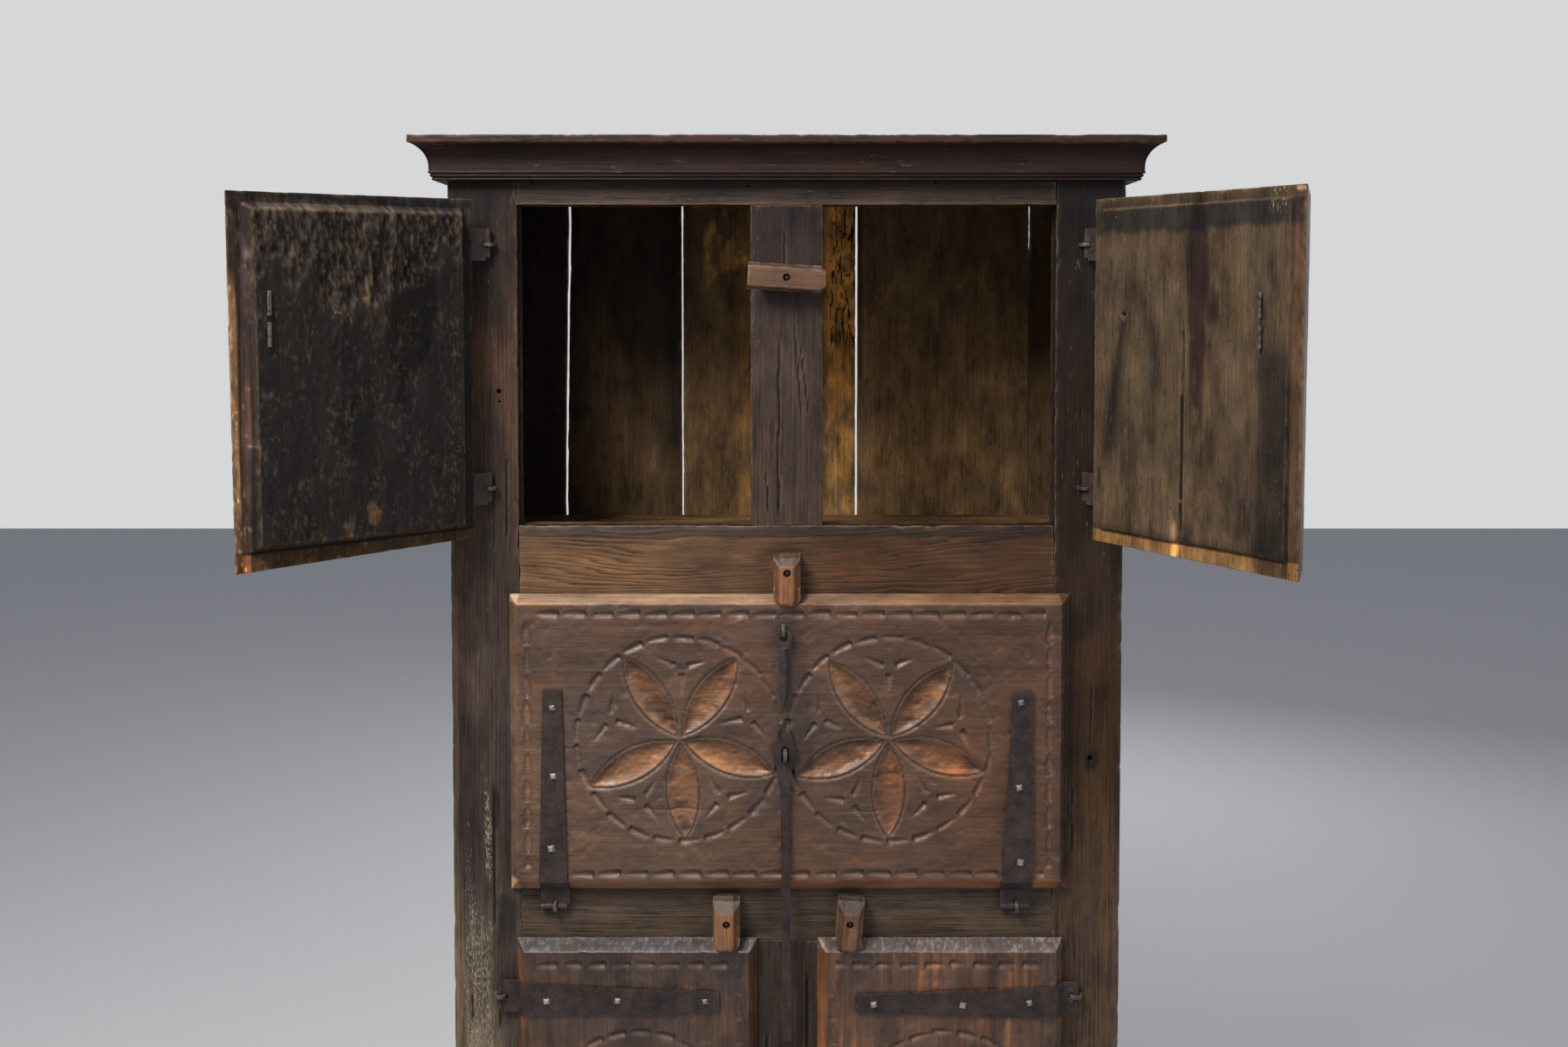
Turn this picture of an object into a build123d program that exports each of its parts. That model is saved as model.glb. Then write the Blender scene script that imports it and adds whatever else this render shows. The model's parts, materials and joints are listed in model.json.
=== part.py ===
"""Two-stage court cupboard: a pegged oak frame with overlaid doors on forged staple hinges.

Millimetres, +Z up, the room side towards -Y. The origin is on the floor at the foot of the
back, on the centre line. The two upper doors stand open; the flap and the lower doors are shut.
"""
from build123d import *
from math import cos, radians, sin
import os

os.makedirs("parts", exist_ok=True)

# ------------------------------------------------------------------ driving dimensions
width = 1050  # over the carcass
depth = 430  # from the face of the front frame to the back
height = 2000  # to the top of the cornice
cornice_height = 67
frame_top = 1978  # top of stiles and side boards, under the roof board

frame_thickness = 45
stile_width = 107
side_thickness = 28
floor_thickness = 22
back_thickness = 20

upper_head, upper_sill = 1897, 1398  # opening behind the two upper doors
flap_head, flap_sill = 1283, 840  # opening behind the flap
lower_head, lower_sill = 740, 185  # opening behind the two lower doors
bottom_rail_low = 95
muntin_left, muntin_right = -56, 56
floor_tops = {"upper_floor": 1359, "middle_floor": 812, "bottom_floor": 150}

tenon_length, tenon_thickness, tenon_shoulder = 55, 14, 10
tongue = 10  # tongues and grooves of the side boards
bearer_width, bearer_height = 22, 30
back_joints = [-width / 2, -400, -190, 129, 445, width / 2]
back_gap = 3.5  # shrinkage gap between back boards

door_gap = 1  # between the frame's face and a door's back
door_thickness = 28
door_edge = 4  # square edge left under the bevel
bevel = 14
pivot_out = 9  # hinge axis in front of the frame's face
door_back = door_gap - pivot_out  # a door's planes, measured from its hinge axis
door_face = door_back + door_thickness

hinge_bar_radius = 4.5
staple_clearance = 0.7
staple_bar = 5.5
staple_depth = 30  # how far the legs are driven into the frame
strap_thickness = 4
plate_width = 50
hole_clearance = 1.2

pull_rim = 6.5
pull_eye_radius = 13
pull_length = 129
pull_pivot_out = 7.5  # above the door's face
pull_staple_bar = 5
prong_length = 34
prong_thickness = 4

button_width = 42
button_thickness = 38
button_bore_radius = 3.1
pivot_nail = 4.2  # side of the square shank
pivot_nail_depth = 30
counterbore_radius, counterbore_depth = 5.5, 6

half = width / 2
stile_inner = half - stile_width
face = Plane(origin=(0, -depth, 0), x_dir=(1, 0, 0), z_dir=(0, -1, 0))
rail_back = face.offset(-frame_thickness)


def save(piece, label):
    piece.part.label = label
    export_step(piece.part, f"parts/{label}.step")


def local(frame, x=0, y=0, z=0):
    """The same plane, moved by its own axes."""
    return frame.moved(Location((x, y, z)))


def rectangle(x0, x1, y0, y1, mode=Mode.ADD):
    with Locations(((x0 + x1) / 2, (y0 + y1) / 2)):
        Rectangle(x1 - x0, y1 - y0, mode=mode)


def block(frame, x, y, z, mode=Mode.ADD):
    """A straight block in the frame's axes; x, y and z are (low, high) pairs."""
    with BuildSketch(frame.offset(z[0])) as outline:
        rectangle(*x, *y)
    extrude(outline.sketch, amount=z[1] - z[0], mode=mode)


# ------------------------------------------------------------------ front frame
tenon_z = (
    -(frame_thickness + tenon_thickness) / 2,
    -(frame_thickness - tenon_thickness) / 2,
)
rails = {
    "top_rail": (upper_head, frame_top),
    "middle_rail": (flap_head, upper_sill),
    "lower_rail": (lower_head, flap_sill),
    "bottom_rail": (bottom_rail_low, lower_sill),
}
muntins = {
    "upper_muntin": (upper_sill, upper_head),
    "lower_muntin": (lower_sill, lower_head),
}


def rail_tenon(low, high, mode=Mode.ADD):
    reach = stile_inner + tenon_length
    block(face, (-reach, reach), (low + tenon_shoulder, high - tenon_shoulder), tenon_z, mode)


def muntin_tenon(low, high, mode=Mode.ADD):
    x = (muntin_left + tenon_shoulder, muntin_right - tenon_shoulder)
    block(face, x, (low - tenon_length, high + tenon_length), tenon_z, mode)


# ------------------------------------------------------------------ where the iron goes
# Left-hand doors reach towards +X from their hinge axis (side 1), right-hand ones towards -X.
class Leaf:
    """One hinged board: its hinge axis, outline from that axis, and how far it stands open."""

    def __init__(self, side, pivot, hinge_edge, reach, bottom, top, opened=0):
        self.side = side
        self.pivot = pivot
        self.hinge_edge = hinge_edge
        self.reach = reach  # free edge, at the bottom and at the top
        self.bottom = bottom  # bottom edge, at the hinge side and at the free side
        self.top = top
        turn = radians(opened)
        self.frame = Plane(
            origin=(pivot, -depth - pivot_out, 0),
            x_dir=(cos(turn), -side * sin(turn), 0),
            z_dir=(-side * sin(turn), -cos(turn), 0),
        )


upper_left_open, upper_right_open = 136, 121.5
leaves = {
    "upper_left": Leaf(1, -461, 33, (408, 415), (1385, 1374), (1903, 1895), upper_left_open),
    "upper_right": Leaf(-1, 463, 27, (411, 416), (1381, 1376), (1903, 1898), upper_right_open),
    "lower_left": Leaf(1, -451, 27, (405, 405), (170, 170), (746, 746)),
    "lower_right": Leaf(-1, 456, 22, (408, 408), (170, 170), (746, 746)),
}
upper_hinge_heights = (1458, 1835)
lower_hinge_heights = (262, 655)
flap_pivot = 797.5
flap_hinge_places = (-363, 361)
bar_pivot = 545
bar_x = 1


def hinge_frames(name):
    leaf = leaves[name]
    heights = upper_hinge_heights if name.startswith("upper") else lower_hinge_heights
    return [local(leaf.frame, y=height_) for height_ in heights]


def fixed_hinge_frame(x, z):
    """A staple's frame on the front: X along the shut leaf, Z out of the cupboard."""
    return Plane(origin=(x, -depth - pivot_out, z), x_dir=(1, 0, 0), z_dir=(0, -1, 0))


def lying_frame(x, z, out=pivot_out):
    """A frame for what turns about a level axis: its X points up, its Z out of the cupboard."""
    return Plane(origin=(x, -depth - out, z), x_dir=(0, 0, 1), z_dir=(0, -1, 0))


door_staple_frames = [
    fixed_hinge_frame(leaf.pivot, z)
    for name, leaf in leaves.items()
    for z in (upper_hinge_heights if name.startswith("upper") else lower_hinge_heights)
]
flap_staple_frames = [lying_frame(x, flap_pivot) for x in flap_hinge_places]
bar_staple_frame = lying_frame(bar_x, bar_pivot)
hinge_staple_frames = door_staple_frames + flap_staple_frames + [bar_staple_frame]
hinge_staple_radius = hinge_bar_radius + staple_clearance
hinge_leg_end = -pivot_out - staple_depth

# turn-buttons: x and z of the pivot, the turn at rest, the arms up and down from the pivot, and
# the widths of the hand-cut facets down the left and right edges
buttons = {
    "upper_button": (0, 1784, -86.5, (60, 60), (5, 7)),
    "flap_button": (0.5, 1329, 0, (26, 51), (9, 11)),
    "lower_left_button": (-94, 779, 0, (37, 43), (4, 11)),
    "lower_right_button": (98.5, 779, 4.5, (37, 43), (12, 9)),
}


def leg_slots(frame, inner, bar, ends, mode):
    """The two legs of a staple, or the slots they fill; ends are (deep, shallow)."""
    for way in (-1, 1):
        near, far = sorted((way * inner, way * (inner + bar)))
        block(frame, (near, far), (-bar / 2, bar / 2), ends, mode)


def frame_staple_slots():
    for frame in hinge_staple_frames:
        leg_slots(frame, hinge_staple_radius, staple_bar, (hinge_leg_end, -pivot_out), Mode.SUBTRACT)


def pivot_nail_shank(x, z, deep, mode):
    half_nail = pivot_nail / 2
    across = (-half_nail, half_nail)
    block(local(face, x, z), across, across, deep, mode)


def pivot_nail_holes():
    for x, z, *_ in buttons.values():
        pivot_nail_shank(x, z, (-pivot_nail_depth, 0), Mode.SUBTRACT)


groove_middle = half - side_thickness / 2

for label, side in (("stile_left", -1), ("stile_right", 1)):
    with BuildPart() as stile:
        block(rail_back, sorted((side * stile_inner, side * half)), (0, frame_top), (0, frame_thickness))
        for low, high in rails.values():
            rail_tenon(low, high, Mode.SUBTRACT)
        frame_staple_slots()
        groove = sorted((side * (groove_middle - tongue / 2), side * (groove_middle + tongue / 2)))
        block(rail_back, groove, (0, frame_top), (0, tongue), Mode.SUBTRACT)
    save(stile, label)

for label, (low, high) in rails.items():
    with BuildPart() as rail:
        block(rail_back, (-stile_inner, stile_inner), (low, high), (0, frame_thickness))
        rail_tenon(low, high)
        for muntin_low, muntin_high in muntins.values():
            muntin_tenon(muntin_low, muntin_high, Mode.SUBTRACT)
        frame_staple_slots()
        pivot_nail_holes()
    save(rail, label)

for label, (low, high) in muntins.items():
    with BuildPart() as muntin:
        block(rail_back, (muntin_left, muntin_right), (low, high), (0, frame_thickness))
        muntin_tenon(low, high)
        frame_staple_slots()
        pivot_nail_holes()
    save(muntin, label)

# ------------------------------------------------------------------ sides, back, floors, roof
floor_plan = Plane.XY
board_front = -depth + frame_thickness
board_middle = board_front + 190
board_rear = -back_thickness

for side_name, side in (("left", -1), ("right", 1)):
    board_x = sorted((side * (half - side_thickness), side * half))
    tongue_x = sorted((side * (groove_middle - tongue / 2), side * (groove_middle + tongue / 2)))
    with BuildPart() as front_board:
        block(floor_plan, board_x, (board_front, board_middle), (0, frame_top))
        block(floor_plan, tongue_x, (board_front - tongue, board_front), (0, frame_top))
        block(floor_plan, tongue_x, (board_middle - tongue, board_middle), (0, frame_top), Mode.SUBTRACT)
    save(front_board, f"{side_name}_side_front_board")
    with BuildPart() as rear_board:
        block(floor_plan, board_x, (board_middle, board_rear), (0, frame_top))
        block(floor_plan, tongue_x, (board_middle - tongue, board_middle), (0, frame_top))
    save(rear_board, f"{side_name}_side_rear_board")

for number, (left, right) in enumerate(zip(back_joints, back_joints[1:]), start=1):
    left_edge = left if number == 1 else left + back_gap / 2
    right_edge = right if number == len(back_joints) - 1 else right - back_gap / 2
    with BuildPart() as back_board:
        block(floor_plan, (left_edge, right_edge), (-back_thickness, 0), (0, height))
    save(back_board, f"back_board_{number}")

inner_half = half - side_thickness
for label, top in floor_tops.items():
    with BuildPart() as floor_board:
        x = (-inner_half, inner_half)
        block(floor_plan, x, (board_front, board_rear), (top - floor_thickness, top))
    save(floor_board, label)

with BuildPart() as roof:
    block(floor_plan, (-half, half), (-depth, board_rear), (frame_top, height))
save(roof, "roof_board")

with BuildPart() as bearers:
    for top in floor_tops.values():
        under = top - floor_thickness
        for side in (-1, 1):
            x = sorted((side * (inner_half - bearer_width), side * inner_half))
            block(floor_plan, x, (board_front, board_rear), (under - bearer_height, under))
save(bearers, "floor_bearers")

# ------------------------------------------------------------------ cornice
cornice_out = 50
fillet_height = 12
cove_out, cove_height = 24, 40
bead_foot_out = 17
bead_count = 3


def cornice_profile():
    """Square fillet, hollow cove and three small beads; X is out of the carcass, Y is up."""
    cove_low = height - fillet_height - cove_height
    base = height - cornice_height
    bead_height = (cove_low - base) / bead_count
    bead_step = (cove_out - bead_foot_out) / bead_count
    with BuildLine() as outline:
        Polyline((0, base), (0, height), (cornice_out, height), (cornice_out, height - fillet_height))
        cove_top = (cornice_out - 2, height - fillet_height)
        Line((cornice_out, height - fillet_height), cove_top)
        ThreePointArc(cove_top, (cove_out + 6, cove_low + 0.66 * cove_height), (cove_out, cove_low))
        for number in range(bead_count):
            outer = cove_out - number * bead_step
            top = cove_low - number * bead_height
            inner = outer - bead_step
            bulge = (outer + 0.4, top - bead_height / 2)
            ThreePointArc((outer, top), bulge, (inner + 1, top - bead_height))
            Line((inner + 1, top - bead_height), (inner, top - bead_height))
        Line((bead_foot_out, base), (0, base))
    make_face(outline.edges())


reach = half + cornice_out
left_mitre = Plane(origin=(-half, -depth, 0), z_dir=(1, -1, 0))
right_mitre = Plane(origin=(half, -depth, 0), z_dir=(-1, -1, 0))

with BuildPart() as cornice_front:
    with BuildSketch(Plane(origin=(reach, -depth, 0), x_dir=(0, -1, 0), z_dir=(-1, 0, 0))):
        cornice_profile()
    extrude(amount=2 * reach)
    split(bisect_by=left_mitre, keep=Keep.TOP)
    split(bisect_by=right_mitre, keep=Keep.TOP)
save(cornice_front, "cornice_front")

with BuildPart() as cornice_left:
    start = Plane(origin=(-half, -depth - cornice_out, 0), x_dir=(-1, 0, 0), z_dir=(0, 1, 0))
    with BuildSketch(start):
        cornice_profile()
    extrude(amount=depth + cornice_out)
    split(bisect_by=left_mitre, keep=Keep.BOTTOM)
save(cornice_left, "cornice_left")

with BuildPart() as cornice_right:
    with BuildSketch(Plane(origin=(half, 0, 0), x_dir=(1, 0, 0), z_dir=(0, -1, 0))):
        cornice_profile()
    extrude(amount=depth + cornice_out)
    split(bisect_by=right_mitre, keep=Keep.BOTTOM)
save(cornice_right, "cornice_right")


# ------------------------------------------------------------------ forged iron
def forge_staple(frame, inner, bar, leg_end):
    """A U of square bar, added to the part: a round crown about the frame's Y axis, legs to -Z."""
    crown_plane = Plane(origin=frame.origin + frame.y_dir * (bar / 2), x_dir=frame.x_dir, z_dir=-frame.y_dir)
    with BuildSketch(crown_plane) as crown:
        Circle(inner + bar)
        Circle(inner, mode=Mode.SUBTRACT)
        rectangle(-inner - bar, inner + bar, -inner - bar, 0, Mode.SUBTRACT)
    extrude(crown.sketch, amount=bar)
    leg_slots(frame, inner, bar, (leg_end, 0), Mode.ADD)


with BuildPart() as hinge_staples:
    for frame in hinge_staple_frames:
        forge_staple(frame, hinge_staple_radius, staple_bar, hinge_leg_end)
save(hinge_staples, "hinge_staples")


def forge_strap(frame, side, edge, edge_bevel, shape):
    """A strap that lies on the door, steps back down its bevel and ends in a rolled eye bar.

    frame has the hinge axis along Y, the door along X and the outside along Z. shape is the
    length from the axis and the two edges of the plate, of the shoulder and of the tip.
    """
    length, plate, shoulder_edges, tip = shape
    rise = door_face - (door_back + door_edge)
    slope = edge_bevel / rise
    t = strap_thickness / 2
    foot = edge + slope * (-t - door_back - door_edge)
    lean = (1 + slope**2) ** 0.5 * strap_thickness
    profile = [
        (0, -t),
        (foot, -t),
        (edge + edge_bevel, door_face),
        (length, door_face),
        (length, door_face + strap_thickness),
        (edge + edge_bevel + slope * strap_thickness - lean, door_face + strap_thickness),
        (foot + slope * strap_thickness - lean, t),
        (0, t),
    ]
    shoulder = edge + edge_bevel
    notch = 5
    outline = [
        (0, plate[0] + notch),
        (notch, plate[0] + notch),
        (notch, plate[0]),
        (foot - 1, plate[0]),
        (shoulder, shoulder_edges[0]),
        (length, tip[0]),
        (length, tip[1]),
        (shoulder, shoulder_edges[1]),
        (foot - 1, plate[1]),
        (0, plate[1]),
    ]
    window_near = hinge_bar_radius
    window_far = hinge_staple_radius + staple_bar + hole_clearance
    window = staple_bar / 2 + hole_clearance
    profile_plane = Plane(
        origin=frame.origin + frame.y_dir * plate_width, x_dir=frame.x_dir, z_dir=-frame.y_dir
    )
    with BuildPart() as strap:
        with BuildSketch(profile_plane):
            Polygon(*[(side * x, z) for x, z in profile])
        extrude(amount=2 * plate_width)
        with BuildSketch(frame.offset(door_back)):
            Polygon(*[(side * x, y) for x, y in outline])
        extrude(amount=2 * door_thickness, mode=Mode.INTERSECT)
        window_x = sorted((side * window_near, side * window_far))
        block(frame, window_x, (-window, window), (-2 * t, 2 * t), Mode.SUBTRACT)
        with BuildSketch(profile_plane.offset(plate_width - plate[1])):
            Circle(hinge_bar_radius)
        extrude(amount=plate[1] - plate[0] - notch)
    return strap


def eight_sided(frame, half_outline):
    """A bar along the frame's X, cut to the same half-outline from the front, side and corners."""
    sides = [(x, y) for x, y in half_outline] + [(x, -y) for x, y in reversed(half_outline)]
    room = 2 * max(y for x, y in half_outline)
    with BuildPart() as bar:
        for number in range(4):
            turn = radians(45 * number)
            facing = frame.z_dir * cos(turn) + frame.y_dir * sin(turn)
            cut = Plane(origin=frame.origin, x_dir=frame.x_dir, z_dir=facing)
            with BuildSketch(cut.offset(-room)):
                Polygon(*sides)
            extrude(amount=2 * room, mode=Mode.INTERSECT if number else Mode.ADD)
    return bar


def forge_pull(frame):
    """A drop pull: flat eye, shoulders, and an eight-sided stem drawn down to a point."""
    eye_centre = -(pull_eye_radius - pull_rim / 2)
    eye_hole = pull_eye_radius - pull_rim
    head_end = -28
    stem = eight_sided(
        frame,
        [
            (head_end + 2, 5),
            (head_end - 8, 5.8),
            (head_end - 24, 6.6),
            (30 - pull_length, 5.6),
            (-pull_length, 0.5),
        ],
    )
    with BuildPart() as pull:
        with BuildSketch(frame.offset(-pull_staple_bar / 2)):
            with Locations((eye_centre, 0)):
                Circle(pull_eye_radius)
            Polygon(
                (eye_centre, 12.9),
                (head_end + 3, 10.5),
                (head_end, 8.5),
                (head_end, -8.5),
                (head_end + 3, -10.5),
                (eye_centre, -12.9),
            )
            with Locations((eye_centre, 0)):
                Circle(eye_hole, mode=Mode.SUBTRACT)
        extrude(amount=pull_staple_bar)
        add(stem.part)
    return pull


pull_staple_radius = (pull_rim**2 + pull_staple_bar**2) ** 0.5 / 2 + 0.5


def clenched_staple(frame, inner, bar, leg_end):
    """A staple whose legs come through the board and are hammered over, one up and one down."""
    with BuildPart() as fixing:
        forge_staple(frame, inner, bar, leg_end)
        for way in (-1, 1):
            prong = sorted((way * inner, way * (inner + prong_length)))
            block(frame, prong, (-bar / 2, bar / 2), (leg_end - prong_thickness, leg_end))
    return fixing


# ------------------------------------------------------------------ doors and flap
def leaf_outline(side, hinge, reach, bottom, top, inset=(0, 0, 0, 0)):
    """Four-sided outline; the insets are for the hinge side, free side, bottom and top."""
    a, b, c, d = inset
    Polygon(
        (side * (hinge + a), bottom[0] + c),
        (side * (reach[0] - b), bottom[1] + c),
        (side * (reach[1] - b), top[1] - d),
        (side * (hinge + a), top[0] - d),
    )


def bevelled_board(frame, side, hinge, reach, bottom, top, bevels, field, slots):
    """A board with a bevelled face and, behind, a raised field that enters the opening.

    bevels are the runs at the hinge side, free side, bottom and top. field is (lips, depth,
    slope, level foot). slots are frames and sizes of the staples that come through.
    """
    lips, field_depth, field_slope, foot = field
    outline = (side, hinge, reach, bottom, top)
    field_low = bottom if foot is None else (foot - lips[2], foot - lips[2])
    field_outline = (side, hinge, reach, field_low, top)
    with BuildPart() as board:
        with BuildSketch(frame.offset(door_back)):
            leaf_outline(*outline)
        extrude(amount=door_edge)
        with BuildSketch(frame.offset(door_back + door_edge)):
            leaf_outline(*outline)
        with BuildSketch(frame.offset(door_face)):
            leaf_outline(*outline, inset=bevels)
        loft()
        with BuildSketch(frame.offset(door_back)):
            leaf_outline(*field_outline, inset=lips)
        with BuildSketch(frame.offset(door_back - field_depth)):
            leaf_outline(*field_outline, inset=[lip + field_slope for lip in lips])
        loft()
        for slot_frame, inner, bar in slots:
            leg_slots(slot_frame, inner, bar, (-4 * door_thickness, 0), Mode.SUBTRACT)
    return board


# lips at hinge side, free side, bottom and top; depth and slope of the field; level foot
upper_left_field = ((18, 20, 18, 15), 20, 9, upper_sill + 2)
upper_right_field = ((20, 18, 18, 15), 6, 1.5, upper_sill + 2)
lower_field = ((24, 20, 20, 16), 14, 5, None)
leaf_fields = {
    "upper_left": upper_left_field,
    "upper_right": upper_right_field,
    "lower_left": lower_field,
    "lower_right": lower_field,
}
pull_places = {
    "upper_left": (366, 1722),
    "upper_right": (351, 1719),
    "lower_left": (360, 520),
    "lower_right": (362, 520),
}
upper_strap = (346, (-25, 25), (-24, 25), (-15, 15))
strap_shapes = {
    "upper_left": upper_strap,
    "upper_right": upper_strap,
    "lower_left": (346, (-25, 25), (-21.5, 27.5), (-15.5, 15.5)),
    "lower_right": (349, (-28, 22), (-27.5, 23.5), (-17, 12)),
}

for name, leaf in leaves.items():
    x, z = pull_places[name]
    pull_frame = Plane(
        origin=local(leaf.frame, leaf.side * x, z, door_face + pull_pivot_out).origin,
        x_dir=(0, 0, 1),
        z_dir=leaf.frame.z_dir,
    )
    field = leaf_fields[name]
    through = -(pull_pivot_out + door_thickness + field[1])
    door = bevelled_board(
        leaf.frame,
        leaf.side,
        leaf.hinge_edge,
        leaf.reach,
        leaf.bottom,
        leaf.top,
        (bevel, bevel, bevel, bevel),
        field,
        [(pull_frame, pull_staple_radius, pull_staple_bar)],
    )
    save(door, f"{name}_door")
    for place, frame in zip(("lower", "upper"), hinge_frames(name)):
        strap = forge_strap(frame, leaf.side, leaf.hinge_edge, bevel, strap_shapes[name])
        save(strap, f"{name}_door_{place}_strap")
    save(clenched_staple(pull_frame, pull_staple_radius, pull_staple_bar, through), f"{name}_pull_staple")
    save(forge_pull(pull_frame), f"{name}_pull")

# the flap hangs from its bottom edge, so its own X runs up the front
flap_frame = lying_frame(0, flap_pivot)
flap_left, flap_right = -433, 441
flap_low, flap_high = 824.4, 1291.7
flap_bevels = (22, 12, 16, 16)  # bottom, top, right and left edges
flap_field = ((20, 13, 27, 20), 12, 4, None)
flap_pull_frame = lying_frame(-5, 1240, pivot_out + door_face + pull_pivot_out)
hasp_x, hasp_z = -2.5, 1045.5
hasp_bar, hasp_radius, hasp_out = 6, 4, 12
hasp_frame = lying_frame(hasp_x, hasp_z, pivot_out + door_face + hasp_out)
flap_through = door_thickness + flap_field[1]

flap = bevelled_board(
    flap_frame,
    1,
    flap_low - flap_pivot,
    (flap_high - flap_pivot, flap_high - flap_pivot),
    (-flap_right, -flap_right),
    (-flap_left, -flap_left),
    flap_bevels,
    flap_field,
    [
        (flap_pull_frame, pull_staple_radius, pull_staple_bar),
        (hasp_frame, hasp_radius, hasp_bar),
    ],
)
save(flap, "flap")
flap_strap_shapes = {
    "left": (350, (-23, 23), (-22, 22.5), (-14.5, 15)),
    "right": (347, (-24, 26), (-23.5, 25.5), (-20.5, 9.5)),
}
for (place, shape), frame in zip(flap_strap_shapes.items(), flap_staple_frames):
    strap = forge_strap(frame, 1, flap_low - flap_pivot, flap_bevels[0], shape)
    save(strap, f"flap_{place}_strap")
flap_leg_end = -(pull_pivot_out + flap_through)
save(clenched_staple(flap_pull_frame, pull_staple_radius, pull_staple_bar, flap_leg_end), "flap_pull_staple")
save(forge_pull(flap_pull_frame), "flap_pull")
save(clenched_staple(hasp_frame, hasp_radius, hasp_bar, -(hasp_out + flap_through)), "hasp_staple")

# ------------------------------------------------------------------ locking bar
# Hinged on the lower muntin; its spade head has a slot that drops over the flap's staple.
bar_thickness = 6
bar_back = door_face + 0.5
bar_frame = lying_frame(bar_x, bar_pivot)
bar_profile = [
    (0, -3),
    (20, -3),
    (52, bar_back),
    (539, bar_back),
    (539, bar_back + 4),
    (490, bar_back + 5),
    (440, bar_back + bar_thickness + 2),
    (50, bar_back + bar_thickness + 2),
    (16, 3),
    (0, 3),
]
bar_outline = [
    (539, -4.5),
    (503, -16.5),
    (487, -9.5),
    (477, -7.5),
    (445, -2.6),
    (52, -6.5),
    (30, -8),
    (18, -14),
    (0, -14),
    (0, 14),
    (18, 14),
    (30, 8),
    (52, 7),
    (445, 10.5),
    (477, 16.5),
    (489, 19),
    (503, 24),
    (513, 27),
]
slot_height, slot_width = 27, 12
bar_width = 60  # over the spade head, with room to spare
bar_eye_width = 28
window_near = hinge_bar_radius - 1
window_far = hinge_staple_radius + staple_bar + hole_clearance
window = staple_bar / 2 + hole_clearance

with BuildPart() as bar:
    side_plane = Plane(
        origin=bar_frame.origin + bar_frame.y_dir * (bar_width / 2),
        x_dir=bar_frame.x_dir,
        z_dir=-bar_frame.y_dir,
    )
    with BuildSketch(side_plane):
        Polygon(*bar_profile)
    extrude(amount=bar_width)
    with BuildSketch(bar_frame.offset(-bar_width)):
        Polygon(*bar_outline)
        with Locations((hasp_z - bar_pivot, bar_x - hasp_x)):
            SlotOverall(slot_height, slot_width, mode=Mode.SUBTRACT)
    extrude(amount=2 * bar_width, mode=Mode.INTERSECT)
    block(bar_frame, (window_near, window_far), (-window, window), (-5, 5), Mode.SUBTRACT)
    with BuildSketch(side_plane.offset(bar_width / 2 - bar_eye_width / 2)):
        Circle(hinge_bar_radius)
    extrude(amount=bar_eye_width)
save(bar, "locking_bar")

# ------------------------------------------------------------------ turn-buttons
facet_depth = 11
button_back = 0.5
nose_back = door_gap + door_thickness + 0.5
nose_start = 24  # where a button is cut away below, so that it clears the doors' edges
upper_nose_start = 41
nose_corner = 8
tail_lean = 4  # a tail's end leans back over the thickness behind its facet
tail_facets = {"flap_button": 17, "lower_left_button": 20, "lower_right_button": 20}


def carve_button(x, z, turn, arms, facets, tail_facet):
    """A block turning on a nail; behind, its nose is cut away to lie over a door's bevel.

    tail_facet is the run of the facet on its tail; with none it has a nose at both ends.
    """
    up, down = arms
    w = button_width / 2
    left, right = facets
    frame = Plane(
        origin=(x, -depth, z),
        x_dir=(cos(radians(turn)), 0, -sin(radians(turn))),
        z_dir=(0, -1, 0),
    )
    section_plane = Plane(origin=frame.origin - frame.y_dir * down, x_dir=frame.z_dir, z_dir=frame.y_dir)
    side_plane = Plane(origin=frame.origin - frame.x_dir * 2 * w, x_dir=frame.y_dir, z_dir=frame.x_dir)
    with BuildPart() as button:
        with BuildSketch(section_plane):
            Polygon(
                (button_back, -w),
                (button_thickness - facet_depth, -w),
                (button_thickness, left - w),
                (button_thickness, w - right),
                (button_thickness - facet_depth, w),
                (button_back, w),
            )
        extrude(amount=up + down)
        if tail_facet is None:
            start = upper_nose_start
            block(frame, (-w - 1, w + 1), (start, up + 1), (0, nose_back), Mode.SUBTRACT)
        else:
            start = nose_start
            with BuildSketch(side_plane):
                Polygon(
                    (up - tail_facet, button_thickness),
                    (up - tail_lean, button_thickness - facet_depth),
                    (up, button_back),
                    (up + 1, button_back),
                    (up + 1, button_thickness),
                )
            extrude(amount=4 * w, mode=Mode.SUBTRACT)
        block(frame, (-w - 1, w + 1), (-down - 1, -start), (0, nose_back), Mode.SUBTRACT)
        nose_corners = button.edges().filter_by(Axis(frame.origin, frame.z_dir)).group_by(
            Axis(frame.origin, frame.y_dir)
        )[0]
        chamfer(nose_corners, length=nose_corner)
        with BuildSketch(frame):
            Circle(button_bore_radius)
        extrude(amount=button_thickness, mode=Mode.SUBTRACT)
        with BuildSketch(frame.offset(button_thickness)):
            Circle(counterbore_radius)
        extrude(amount=-counterbore_depth, mode=Mode.SUBTRACT)
    return button


for label, placing in buttons.items():
    save(carve_button(*placing, tail_facets.get(label)), label)

nail_head = 7.4
nail_head_peak = 3
with BuildPart() as button_pivots:
    for x, z, *_ in buttons.values():
        head_seat = button_thickness - counterbore_depth + 0.2
        pivot_nail_shank(x, z, (-pivot_nail_depth, head_seat), Mode.ADD)
        with BuildSketch(local(face, x, z, head_seat)):
            Rectangle(nail_head, nail_head)
        with BuildSketch(local(face, x, z, head_seat + nail_head_peak)):
            Rectangle(nail_head / 3, nail_head / 3)
        loft()
save(button_pivots, "button_pivots")
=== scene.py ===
import json
from math import atan2, cos, pi, radians, sin

import bmesh
import bpy
import numpy as np
from mathutils import Matrix, Vector


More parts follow.
